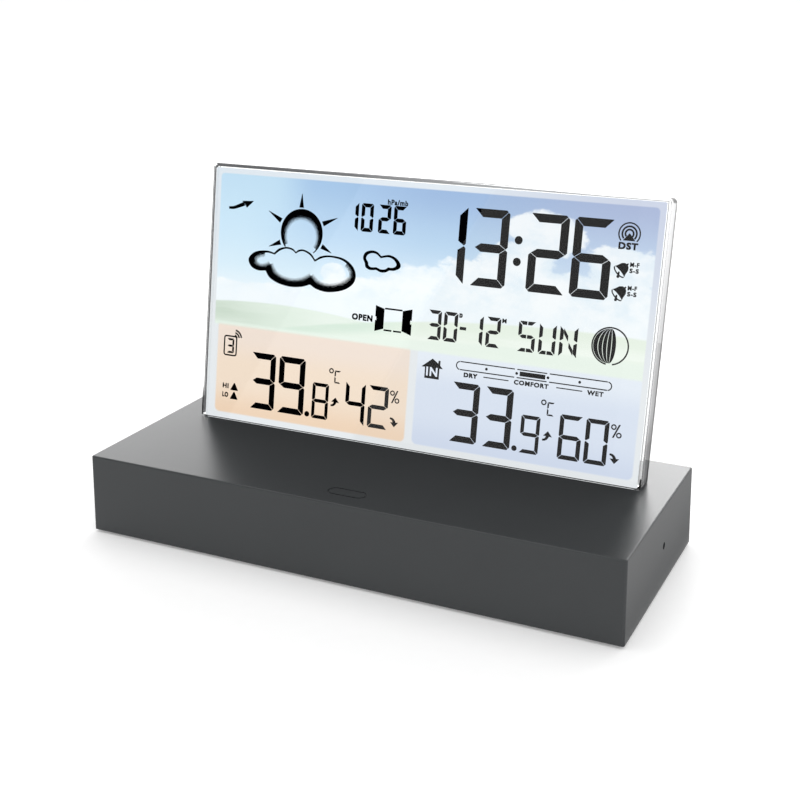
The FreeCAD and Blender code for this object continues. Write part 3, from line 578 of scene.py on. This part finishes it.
# ---------------------------------------------------------------- what the display shows
def draw_weather(ink):
    """The sun behind its cloud, the small cloud and the trend arrow."""
    sun = Drawing("lcd_sun")
    x, u, r = -43.45, 67.5, 8.0
    outer = arc(x, u, r, -52, 219, 72)
    inner = arc(x, u - 1.15, r - 1.15, -46, 214, 72)
    sun.band(outer, inner, closed=False)
    stipple(sun, arc(x, u - 1.15, r - 1.15, -32, 208, 90))
    rays = (((-44.0, 75.9), (-44.0, 80.5)), ((-35.6, 71.2), (-30.25, 73.6)), ((-51.5, 71.0), (-56.5, 73.9)),
            ((-51.4, 63.8), (-55.75, 62.0)), ((-35.6, 63.8), (-31.8, 61.9)))
    for foot, tip in rays:
        ribbon(sun, [foot, ((foot[0] + tip[0]) / 2, (foot[1] + tip[1]) / 2), tip], 1.75, 0.14)
    sun.build(ink)

    cloud = Drawing("lcd_cloud")
    outer = [
        [(-37.75, 59.2), (-39.5, 61.1), (-42.2, 62.1), (-44.1, 61.9), (-45.2, 61.1)],
        [(-45.2, 61.1), (-46.6, 62.1), (-49.0, 62.4), (-51.8, 61.6), (-53.6, 60.0)],
        [(-53.6, 60.0), (-56.5, 60.5), (-61.0, 59.7), (-63.5, 57.2), (-62.4, 54.6), (-59.6, 53.5),
         (-56.6, 53.7)],
        [(-56.6, 53.7), (-54.9, 51.5), (-51.4, 49.9), (-46.7, 49.2), (-42.4, 49.6), (-39.2, 50.7)],
        [(-39.2, 50.7), (-36.4, 49.4), (-32.0, 48.9), (-26.6, 50.1), (-23.2, 52.4), (-22.2, 55.3),
         (-23.6, 58.4), (-27.2, 60.6), (-32.0, 61.1), (-35.4, 60.6), (-37.75, 59.2)],
    ]
    inner = [
        [(-37.85, 58.5), (-39.8, 60.5), (-42.2, 61.5), (-43.9, 61.3), (-45.2, 60.5)],
        [(-45.2, 60.5), (-46.7, 61.5), (-49.0, 61.8), (-51.4, 60.9), (-53.3, 59.4)],
        [(-53.3, 59.4), (-56.2, 59.8), (-59.6, 59.0), (-61.5, 57.2), (-60.6, 55.4), (-57.8, 54.6),
         (-54.9, 55.9)],
        [(-54.9, 55.9), (-53.6, 53.5), (-50.8, 51.7), (-46.7, 50.9), (-42.4, 51.5), (-38.95, 53.4)],
        [(-38.95, 53.4), (-36.2, 51.2), (-32.0, 50.5), (-27.4, 51.6), (-24.5, 53.5), (-23.3, 55.5),
         (-24.5, 57.9), (-27.6, 59.9), (-32.0, 60.5), (-35.2, 59.9), (-37.85, 58.5)],
    ]
    cloud.band(lobes(outer), lobes(inner))
    for part, span in ((inner[2], slice(8, 37)), (inner[3], slice(0, 31)), (inner[4], slice(0, 40))):
        stipple(cloud, curve(part)[span])
    cloud.build(ink)

    small = Drawing("lcd_small_cloud")
    outer = [
        [(-13.4, 62.7), (-15.0, 63.9), (-17.0, 64.2), (-19.2, 63.4), (-20.0, 61.6), (-19.2, 59.8)],
        [(-19.2, 59.8), (-18.8, 58.5), (-17.2, 57.8), (-15.0, 58.0)],
        [(-15.0, 58.0), (-13.2, 57.4), (-11.4, 57.6), (-10.2, 58.3)],
        [(-10.2, 58.3), (-8.4, 58.4), (-6.5, 59.4), (-6.4, 60.8), (-8.0, 62.5), (-10.6, 63.3), (-13.4, 62.7)],
    ]
    inner = [
        [(-13.6, 62.1), (-15.2, 63.3), (-16.9, 63.6), (-18.6, 62.9), (-19.2, 61.5), (-18.3, 60.1)],
        [(-18.3, 60.1), (-18.1, 59.1), (-17.0, 58.5), (-15.1, 58.7)],
        [(-15.1, 58.7), (-13.2, 58.1), (-11.6, 58.3), (-10.5, 59.1)],
        [(-10.5, 59.1), (-8.8, 59.1), (-7.6, 59.8), (-7.5, 60.7), (-8.6, 62.0), (-10.6, 62.7), (-13.6, 62.1)],
    ]
    inner = [[(-13.3 + (x + 13.3) * 0.935, 60.9 + (u - 60.9) * 0.9) for x, u in part] for part in inner]
    small.band(lobes(outer), lobes(inner))
    small.build(ink)

    trend = Drawing("lcd_trend_arrow")
    ribbon(trend, [(-72.3, 73.75), (-70.4, 73.9), (-68.4, 74.6), (-66.2, 75.5)], 0.85, 1.35)
    trend.shape([(-65.2, 74.2), (-62.5, 76.7), (-67.3, 76.4), (-66.3, 75.7)])
    trend.build(ink)


def draw_numbers(ink):
    """Pressure, time, date, and the outdoor and indoor readings."""
    pressure = Drawing("lcd_pressure")
    places = ((-28.0, -22.6), (-21.6, -17.2), (-15.3, -10.9), (-9.9, -5.4))
    number(pressure, "1026", places, 70.0, 79.2, 1.28, 0.1)
    pressure.label("hPa/mb", -12.4, -5.1, 79.3, 81.15, 0.01, 0.09)
    pressure.build(ink)

    time = Drawing("lcd_time")
    number(time, "1326", ((4.0, 15.75), (18.1, 29.8), (36.7, 49.1), (50.75, 63.0)), 56.5, 80.75, 2.65)
    time.disc(33.2, 72.0, 1.3)
    time.disc(33.2, 65.3, 1.3)
    time.build(ink)

    date = Drawing("lcd_date")
    number(date, "3012", ((4.9, 9.5), (10.4, 15.2), (19.2, 23.9), (25.0, 29.8)), 37.7, 47.3, 1.18, 0.22)
    date.label("D", 15.5, 16.7, 45.8, 47.3, 0.03, 0.14)
    date.label("M", 30.1, 31.6, 45.8, 47.3, 0.01, 0.09)
    date.box(16.0, 18.2, 42.0, 43.0)
    number(date, "SUN", ((35.75, 41.4), (42.6, 48.1), (49.3, 55.0)), 37.7, 47.3, 1.15, 0.28, True)
    date.shape([(50.5, 46.6), (50.5, 44.9), (52.0, 42.6), (52.0, 44.3)])
    date.shape([(52.3, 42.4), (52.3, 40.7), (53.8, 38.4), (53.8, 40.1)])
    date.build(ink)

    outdoor = Drawing("lcd_outdoor")
    number(outdoor, "39", ((-60.0, -50.5), (-49.1, -38.9)), 5.7, 25.3, 2.1)
    outdoor.disc(-37.4, 6.75, 0.95)
    digit(outdoor, "8", -35.75, -29.5, 5.7, 18.0, 1.2)
    number(outdoor, "42", ((-23.1, -15.75), (-14.5, -7.2)), 5.7, 19.9, 1.4)
    celsius(outdoor, -27.7, 18.75)
    percent(outdoor, -6.6, -3.4, 15.0, 19.3)
    bent_arrow(outdoor, -28.5, -25.5, 10.6, 13.8, True)
    bent_arrow(outdoor, -6.2, -3.2, 7.1, 10.3, False)
    outdoor.build(ink)

    indoor = Drawing("lcd_indoor")
    number(indoor, "33", ((15.3, 24.7), (26.75, 36.1)), 5.7, 25.2, 2.1)
    indoor.disc(37.7, 6.75, 0.9)
    digit(indoor, "9", 39.25, 45.6, 5.7, 17.9, 1.2)
    number(indoor, "60", ((51.9, 59.2), (60.4, 67.7)), 5.7, 19.9, 1.4)
    celsius(indoor, 47.4, 18.75)
    percent(indoor, 68.4, 71.6, 15.0, 19.3)
    bent_arrow(indoor, 46.7, 49.7, 10.5, 13.8, True)
    bent_arrow(indoor, 68.6, 71.7, 7.0, 10.2, False)
    indoor.build(ink)


def draw_symbols(ink, paper):
    """The small symbols and words round the readings."""
    radio = Drawing("lcd_radio_mast")
    for radius, stroke in ((3.25, 0.42), (2.2, 0.55), (1.25, 0.55)):
        radio.ring(67.8, 77.0, radius, stroke, -42, 222, 30)
    radio.shape([(65.9, 74.9), (69.8, 74.9), (67.85, 77.2)])
    radio.label("DST", 64.75, 70.8, 72.2, 74.45, 0.02, 0.13)
    radio.build(ink)

    alarms = Drawing("lcd_alarms")
    for foot in (63.6, 56.6):
        bell(alarms, 66.5, foot + 2.6)
        alarms.label("M-F", 68.9, 71.8, foot + 3.6, foot + 5.05, 0.01, 0.1)
        alarms.label("S-S", 68.9, 71.8, foot + 1.8, foot + 3.25, 0.01, 0.1)
    alarms.build(ink)

    window = Drawing("lcd_window")
    window.label("OPEN", -22.7, -15.0, 40.85, 43.1, 0.02, 0.13)
    window.shape([(-14.1, 38.0), (-10.9, 39.1), (-10.9, 45.7), (-14.1, 46.6), (-14.1, 42.9), (-13.75, 42.9),
                  (-13.6, 41.7), (-14.1, 41.7)])
    window.shape([(-0.9, 38.0), (-0.9, 41.7), (-1.4, 41.7), (-1.4, 42.9), (-0.9, 42.9), (-0.9, 46.6),
                  (-4.3, 45.7), (-4.3, 39.1)])
    window.box(-10.75, -4.45, 45.55, 46.1)
    window.box(-10.75, -7.9, 38.45, 39.0)
    window.box(-7.3, -4.45, 38.45, 39.0)
    window.build(ink)

    moon = Drawing("lcd_moon")
    x, u, r = 65.35, 42.85, 5.65
    moon.ring(x, u, r, 0.46, -78, 262, 60)
    dark = r - 0.35
    for left, right in ((-1.0, -0.74), (-0.7, -0.47), (-0.43, -0.2), (-0.16, 0.06), (0.1, 0.34)):
        heights = [-dark * math.cos(math.pi * k / 24) for k in range(1, 24)]
        reach = [math.sqrt(dark * dark - h * h) for h in heights]
        going_up = [(x + right * w, u + h) for h, w in zip(heights, reach)]
        going_down = [(x + left * w, u + h) for h, w in zip(heights, reach)][::-1]
        moon.shape(going_up + going_down)
    moon.build(ink)

    comfort = Drawing("lcd_comfort")
    for x0, x1 in ((17.2, 35.7), (36.5, 46.4), (47.2, 65.8)):
        comfort.box(x0, x1, 31.72, 32.08)
        comfort.box(x0, x1, 29.12, 29.48)
    comfort.ring(17.2, 30.6, 1.3, 0.36, 98, 262, 12)
    comfort.ring(65.8, 30.6, 1.3, 0.36, -82, 82, 12)
    for x in (26.2, 36.4, 46.75, 57.0):
        comfort.disc(x, 30.6, 0.46, 12)
    comfort.box(37.4, 45.85, 29.9, 31.35)
    comfort.label("DRY", 18.6, 23.4, 27.0, 28.6, 0.02, 0.12)
    comfort.label("COMFORT", 35.7, 47.2, 27.0, 28.6, 0.015, 0.1)
    comfort.label("WET", 59.6, 64.9, 27.0, 28.6, 0.01, 0.1)
    comfort.box(25.4, 33.9, 27.75, 28.08)
    comfort.box(49.7, 58.1, 27.75, 28.08)
    comfort.build(ink)

    house = Drawing("lcd_house")
    house.shape([(5.0, 25.0), (10.1, 25.0), (10.1, 28.6), (11.3, 28.6), (10.3, 29.6), (10.3, 31.2),
                 (9.6, 31.2), (9.6, 30.2), (7.5, 31.6), (3.7, 28.6), (5.0, 28.6)])
    house.build(ink)
    word = Drawing("lcd_house_word", SEGMENT_DEPTH - 0.03, 0.02)
    word.label("IN", 5.5, 9.5, 25.8, 28.8)
    word.build(paper)

    sensor = Drawing("lcd_sensor")
    left, right, low, high, bend = -71.8, -66.4, 22.7, 29.9, 1.0
    corners = ((right - bend, low + bend, -90), (right - bend, high - bend, 0),
               (left + bend, high - bend, 90), (left + bend, low + bend, 180))
    outer, inner = [], []
    for x, u, start in corners:
        outer += arc(x, u, bend, start, start + 90, 5)
        inner += arc(x, u, 0.48, start, start + 90, 5)
    sensor.band(outer, inner)
    digit(sensor, "3", -70.45, -67.6, 23.7, 28.9, 0.72, 0.1)
    for radius in (1.0, 1.9, 2.8):
        sensor.ring(-67.6, 29.1, radius, 0.58, 8, 82, 8)
    sensor.label("HI", -71.5, -69.0, 11.15, 13.0, 0.01, 0.13)
    sensor.label("LO", -71.5, -69.0, 8.0, 9.85, 0.01, 0.13)
    warning(sensor, -68.2, -65.2, 10.75, 13.4)
    warning(sensor, -68.2, -65.2, 7.6, 10.25)
    sensor.build(ink)


# ---------------------------------------------------------------- the printed picture
def rounded(x, u, x0, x1, u0, u1, radius, soft=0.25):
    """1 inside a rounded rectangle and 0 outside."""
    dx = ((x - (x0 + x1) / 2).absolute() - ((x1 - x0) / 2 - radius)).math("MAXIMUM", 0.0)
    du = ((u - (u0 + u1) / 2).absolute() - ((u1 - u0) / 2 - radius)).math("MAXIMUM", 0.0)
    return (dx * dx + du * du).power(0.5).ramp(radius + soft, radius - soft)


def blob(x, u, cx, cu, rx, ru):
    """1 at the middle of an ellipse, falling to 0 at its edge and below it outside."""
    dx, du = (x - cx) / rx, (u - cu) / ru
    return (dx * dx + du * du) * -1.0 + 1.0


def picture():
    """The lit picture: a clouded sky over two hills, and the two coloured fields below them."""
    made = Material("printed_picture", roughness=0.5, base_color=grey(0.03), emission_strength=PICTURE_GLOW)
    across, _, high = made.axes()
    x = ((across - PANEL_X) / MM + SEEN_LEFT) / SEEN_SCALE
    u = ((high - TOP_Z) / MM + PICTURE_DEPTH * math.sin(LEAN)) / math.cos(LEAN) + SEEN_DOWN

    def stops(places):
        """A colour that changes along x between the stops given as x and colour."""
        blend = linear(*places[0][1])
        for (x0, _), (x1, colour) in zip(places, places[1:]):
            blend = made.mix(x.ramp(x0, x1), blend, linear(*colour))
        return blend

    top = stops(((-56, (190, 221, 242)), (-38, (162, 196, 231)), (10, (148, 179, 219)),
                 (74, (160, 176, 213))))
    middle = stops(((-70, (202, 230, 248)), (-30, (186, 215, 241)), (6, (178, 208, 235)),
                    (60, (184, 206, 233))))
    low = stops(((-60, (217, 238, 250)), (10, (222, 239, 250))))
    sky = made.mix(u.ramp(50.0, 70.0), low, made.mix(u.ramp(66.0, 86.0), middle, top))

    drift = made.noise(1.0, 5.0, made.point(x * 0.085, u * 0.12, 3.7), 0.6)
    masses = blob(x, u, 42.0, 74.0, 13.0, 8.0)
    for spot in ((34.0, 65.0, 15.0, 7.5), (67.0, 66.0, 14.0, 8.0), (40.0, 54.0, 60.0, 12.0),
                 (2.0, 53.0, 18.0, 7.5), (-31.3, 55.6, 5.6, 3.6), (-14.0, 49.0, 30.0, 6.5),
                 (-50.0, 44.5, 60.0, 5.5)):
        masses = masses.math("MAXIMUM", blob(x, u, *spot))
    cloud = (masses + (drift - 0.5) * 1.9).ramp(0.0, 0.3)
    shade = made.mix(drift.ramp(0.32, 0.62), linear(228, 241, 249), linear(250, 253, 254))
    scene = made.mix(cloud * 0.88, sky, shade)
    haze = made.mix(u.ramp(56.0, 43.0) * 0.8, scene, linear(242, 249, 253))

    streaks = made.noise(1.0, 3.0, made.point(x * 0.04, u * 0.35, 1.3), 0.5)
    left_crest = (x + 52.0) * (x + 52.0) * -0.0019 + 42.6
    grass = stops(((-74, (201, 217, 201)), (-48, (221, 235, 222)), (-30, (230, 241, 231))))
    near_hill = made.mix(streaks.ramp(0.3, 0.7) * 0.35, grass, linear(233, 243, 234))
    ground = made.mix((left_crest - u).ramp(-0.4, 0.4), haze, near_hill)
    right_crest = (x - 60.0) * (x - 60.0) * -0.00095 + 46.2
    meadow = made.mix(x.ramp(-24.0, 8.0), linear(212, 231, 216), linear(229, 240, 226))
    meadow = made.mix((right_crest - u).ramp(1.0, 7.0), meadow, linear(241, 249, 240))
    meadow = made.mix(streaks.ramp(0.4, 0.7) * 0.5, meadow, linear(228, 240, 225))
    ground = made.mix((right_crest - u).ramp(-0.4, 0.6), ground, meadow)
    verge = x * 0.03 + 36.4 + (x * 0.05).math("SINE") * 0.8
    ground = made.mix((verge - u).ramp(-0.8, 0.4) * 0.8, ground, linear(231, 243, 232))

    warm = made.mix(u.ramp(30.0, 20.0), linear(238, 222, 209), linear(240, 220, 199))
    warm = made.mix(u.ramp(14.0, 3.0), warm, linear(237, 209, 181))
    cool = made.mix(u.ramp(32.0, 22.0), linear(228, 236, 246), linear(214, 224, 240))
    cool = made.mix(u.ramp(14.0, 3.0), cool, linear(204, 215, 235))
    border = made.mix(u.ramp(30.0, 87.0), linear(229, 233, 236), linear(222, 230, 238))
    border = made.mix(x.ramp(0.0, 77.0) * u.ramp(30.0, 87.0), border, linear(200, 208, 228))
    shown = made.mix(rounded(x, u, -76.0, 76.25, 20.0, 85.3, 1.3), border, ground)
    below = made.mix(u.ramp(33.4, 34.0), border, shown)
    below = made.mix(rounded(x, u, -74.4, -0.7, 2.6, 34.5, 1.8, 0.4), below, warm)
    below = made.mix(rounded(x, u, 2.05, 76.3, 2.6, 34.5, 1.8, 0.4), below, cool)
    final = made.mix(u.ramp(32.9, 34.1), below, shown)
    # painted shade: the picture's glow is darkened past the slanted gloss's edge, where the mirrored grey
    # card adds its reflection
    painted_gloss_shade_mask = (x - u * EDGE_SLOPE - EDGE_START).ramp(-1.5, 1.5)
    final = made.mix(painted_gloss_shade_mask * GLOSS_SHADE, final, grey(0.0))
    made.set("Emission Color", final)
    return made.material


def panel_sheet(name, margin, depth, material):
    """A sheet with two rounded top corners, smaller than the printed sheet by margin on every side."""
    x0, x1 = margin - SHEET_LEFT, SHEET_RIGHT - margin
    u0, u1 = PICTURE_FOOT + margin, PICTURE_TOP - margin
    points = [(x0, u0), (x1, u0)]
    points += arc(x1 - SHEET_CORNER, u1 - SHEET_CORNER, SHEET_CORNER, 0, 90, 6)
    points += arc(x0 + SHEET_CORNER, u1 - SHEET_CORNER, SHEET_CORNER, 90, 180, 6)
    sheet = Drawing(name, depth)
    sheet.plain(points)
    return sheet.build(material)


def bond_line():
    """The dark adhesive line that shows in the clear rim between the two acrylic plates; its grey is a
    painted glow, darker on the left.
    """
    line = Drawing("panel_bond_line", GLASS_T + 0.01, 0.03)
    line.plain([(-79.35, 1.2), (-78.75, 1.2), (-78.75, 86.6), (-77.9, 87.3), (78.1, 87.1), (78.1, 1.5),
                (78.45, 1.5), (78.45, 87.4), (60.0, 87.45), (0.0, 88.15), (-77.9, 88.35), (-79.35, 87.0)])
    # painted light: the adhesive line glows grey, darker on the left side than on the right
    made = Material("bond_adhesive_painted_glow", roughness=0.6, specular_ior_level=0.0, base_color=grey(0.05),
                    emission_strength=0.95)
    across = made.axes()[0]
    made.set("Emission Color", made.mix(across.ramp(-0.065, 0.06), linear(92, 92, 94), linear(180, 180, 182)))
    line.build(made.material)


def foot_painted_glints():
    """Painted reflection: dark pieces at both ends of the panel's foot, standing in for the dark slot seen in
    the clear block's foot.
    """
    # painted reflection: solid dark pieces where the clear block's foot shows the dark slot
    glint_pieces = Drawing("panel_foot_painted_glints", 0.5, 0.05)
    glint_pieces.shape([(-79.3, 0.5), (-78.9, 0.6), (-78.8, 3.0), (-79.0, 7.5), (-79.15, 11.0), (-79.35, 9.0),
                 (-79.4, 3.0)])
    glint_pieces.shape([(-78.4, 0.3), (-76.6, 0.35), (-76.9, 0.6), (-78.2, 0.75)])
    glint_pieces.shape([(77.2, 0.35), (79.2, 0.3), (79.35, 1.4), (79.3, 3.6), (78.95, 3.9), (78.8, 1.6),
                 (78.3, 0.8)])
    for depth in (2.6, 4.4, 6.2):
        glint_pieces.depth = depth
        glint_pieces.shape([(77.6, 0.4), (79.3, 0.4), (79.3, 2.4), (78.9, 2.0), (78.6, 0.9)])
    # a near-black finish for the painted dark glints
    made = Material("painted_dark_glint", roughness=0.5, specular_ior_level=0.2)
    made.set("Base Color", made.mix(made.noise(900.0), grey(0.004), grey(0.012)))
    glint_pieces.build(made.material)


def edge_shade():
    """A glowing grey film just inside the panel's right edge: painted shade on the clear side face, darker
    towards the base.
    """
    # painted shade: a grey glow, darkest at the foot and lighter up the panel
    made = Material("edge_painted_shade_glow", roughness=0.8, specular_ior_level=0.0, alpha=0.7, base_color=grey(0.01),
                    emission_strength=1.0)
    up = made.axes()[2]
    shade = made.mix(up.ramp(TOP_Z + 0.001, TOP_Z + 0.0035), linear(6, 6, 6), linear(84, 84, 86))
    shade = made.mix(up.ramp(TOP_Z + 0.012, TOP_Z + 0.026), shade, linear(168, 168, 170))
    shade = made.mix(up.ramp(TOP_Z + 0.03, TOP_Z + 0.085), shade, linear(228, 228, 230))
    made.set("Emission Color", made.mix(made.noise(60.0) * 0.2, shade, linear(200, 200, 202)))
    film = Drawing("panel_edge_painted_shade")
    x, low, high = 79.22, 0.9, 86.8
    for start, stop in ((0.15, 1.35), (1.65, 5.4)):  # one strip in each acrylic plate
        corners = [(low, start), (high, start), (high, stop), (low, stop)]
        near = [film.bm.verts.new(on_panel(x, u, depth)) for u, depth in corners]
        far = [film.bm.verts.new(on_panel(x + SHEET_T, u, depth)) for u, depth in corners]
        film.prism(near, far)
    film.build(made.material)


def build_display():
    bond_line()
    foot_painted_glints()
    edge_shade()
    ink = Material("segment_ink", roughness=0.6, specular_ior_level=0.0)
    grain = ink.noise(3000.0, 2.0)
    ink.set("Base Color", ink.mix(grain, (0.0003, 0.0003, 0.0004, 1.0), (0.0012, 0.0012, 0.0016, 1.0)))
    paper = Material("segment_gap", roughness=0.5, base_color=grey(0.03), emission_strength=PICTURE_GLOW)
    paper.set("Emission Color", paper.mix(paper.noise(500.0), linear(218, 227, 241), linear(224, 232, 243)))
    draw_weather(ink.material)
    draw_numbers(ink.material)
    draw_symbols(ink.material, paper.material)
    sheet = panel_sheet("lcd_picture", 0.0, PICTURE_DEPTH, picture())
    # painted reflection: a black sheet behind the picture, which the base's top mirrors in place of the lit
    # panel
    mask = Material("lcd_backing_dark_reflection", roughness=0.5)
    mask.set("Base Color", mask.mix(mask.noise(1500.0, 3.0), grey(0.008), grey(0.016)))
    panel_sheet("lcd_backing", 0.1, MASK_DEPTH, mask.material)
    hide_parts("lcd_cell", "colour_film")
    lit = [o for o in bpy.context.scene.objects if o.name.startswith("lcd_") and "backing" not in o.name]
    for piece in lit + [frame["nodes"]["front_glass"]]:  # the base's dark top doesn't mirror the lit panel
        piece.visible_glossy = False
        piece.visible_diffuse = False


# ---------------------------------------------------------------- the surroundings
CAMERA = Vector((0.17133, -0.34618, 0.18476))
FOCAL, SENSOR = 58.19, 36.0
YAW, PITCH, ROLL = math.radians(25.73), math.radians(19.51), math.radians(-0.304)


def glow(name, radiance):
    """A black surface that gives off white light."""
    return Material(name, roughness=1.0, specular_ior_level=0.0, base_color=grey(0.0),
                    emission_color=grey(1.0), emission_strength=radiance).material


def quad(name, corners, material, seen=False):
    """A four-sided card that belongs to the surroundings and not to the object."""
    mesh = bpy.data.meshes.new(name)
    mesh.from_pydata([tuple(c) for c in corners], [], [(0, 1, 2, 3)])
    mesh.materials.append(material)
    card = bpy.data.objects.new(name, mesh)
    bpy.context.scene.collection.objects.link(card)
    card.visible_camera = seen
    return card


def softbox(name, centre, target, width, height, radiance):
    """A lit card that faces its target."""
    centre, target = Vector(centre), Vector(target)
    facing = (target - centre).normalized()
    side = facing.cross(Vector((0, 0, 1))).normalized()
    if side.length < 0.5:
        side = Vector((1, 0, 0))
    up = side.cross(facing)
    a, b = side * width / 2, up * height / 2
    quad(name, (centre - a - b, centre + a - b, centre + a + b, centre - a + b), glow(name, radiance))


def mirrored(x, up, reach):
    """Where the camera's mirror image in the panel's face sees past a point of that face."""
    lens = CAMERA - on_panel(0, 0, 0)
    out = Vector((0, math.cos(LEAN), -math.sin(LEAN)))
    image = CAMERA - out * 2 * lens.dot(out)
    spot = on_panel(x, up, 0)
    return spot + (spot - image) * reach


def build_stage():
    """The white world and floor, the lit cards, and the flags that the gloss mirrors."""
    world = bpy.data.worlds.new("studio")
    world.use_nodes = True
    background = world.node_tree.nodes["Background"]
    background.inputs["Color"].default_value = grey(1.0)
    background.inputs["Strength"].default_value = 1.0
    bpy.context.scene.world = world

    paper = Material("floor_paper", roughness=0.9, specular_ior_level=0.1, emission_color=grey(1.0),
                     emission_strength=0.2)
    paper.set("Base Color", paper.mix(paper.noise(200.0, 2.0), grey(0.78), grey(0.8)))
    quad("floor", ((-6, -0.4, 0), (6, -0.4, 0), (6, 9, 0), (-6, 9, 0)), paper.material, True)

    softbox("sky_card", (0.2, 0.3, 2.2), (0.0, 0.0, 0.0), width=2.6, height=2.2, radiance=1.6)
    softbox("left_card", (-0.98, 0.95, 0.45), (-0.08, 0.0, 0.02), width=0.7, height=0.5, radiance=4.0)
    softbox("edge_card", (0.45, 0.95, 0.45), (0.09, 0.0, 0.02), width=0.24, height=0.3, radiance=6.0)
    softbox("right_card", (-0.12, 1.05, 0.5), (0.08, 0.0, 0.02), width=0.34, height=0.5, radiance=9.0)

    # strips on the floor to the right of the base that only mirrored rays see
    front, back, level = -0.039, 0.25, 0.0004
    strips = ((0.0915, 0.0985, 0.5), (0.0985, 0.106, 0.72), (0.106, 0.2, 0.9))
    for at, (x0, x1, radiance) in enumerate(strips):
        name = "side_flag_%d" % at
        corners = ((x0, front, level), (x1, front, level), (x1, back, level), (x0, back, level))
        flag = quad(name, corners, glow(name, radiance))
        flag.visible_diffuse = flag.visible_transmission = flag.visible_shadow = False

    # two cards that the panel's face mirrors, and whose shared edge is the slanted gloss
    left, right, low, high, reach = -92, 92, -6, 96, 1.8
    edge = (EDGE_START + EDGE_SLOPE * low, EDGE_START + EDGE_SLOPE * high)
    for name, start, stop, radiance in (("dark_flag", (left, left), edge, 0.0),
                                        ("grey_flag", edge, (right, right), 0.74)):
        corners = ((start[0], low), (stop[0], low), (stop[1], high), (start[1], high))
        quad(name, [mirrored(x, up, reach) for x, up in corners], glow(name, radiance))


def build_camera():
    """The camera, turned by yaw, then pitch, then roll."""
    data = bpy.data.cameras.new("camera")
    data.lens, data.sensor_width = FOCAL, SENSOR
    data.dof.use_dof = False
    data.clip_start, data.clip_end = 0.01, 50.0
    camera = bpy.data.objects.new("camera", data)
    bpy.context.scene.collection.objects.link(camera)
    ahead = Vector((-math.sin(YAW) * math.cos(PITCH), math.cos(YAW) * math.cos(PITCH), -math.sin(PITCH)))
    side = Vector((math.cos(YAW), math.sin(YAW), 0))
    up = side.cross(ahead)
    level_side = side * math.cos(ROLL) + up * math.sin(ROLL)
    level_up = up * math.cos(ROLL) - side * math.sin(ROLL)
    turn = Matrix((level_side, level_up, -ahead)).transposed()
    camera.matrix_world = Matrix.Translation(CAMERA) @ turn.to_4x4()
    bpy.context.scene.camera = camera


paint_nodes()
build_display()
build_stage()
build_camera()
scene = bpy.context.scene
scene.view_settings.view_transform = "Standard"
scene.view_settings.look = "None"
scene.view_settings.exposure = 0.0
scene.view_settings.gamma = 1.0
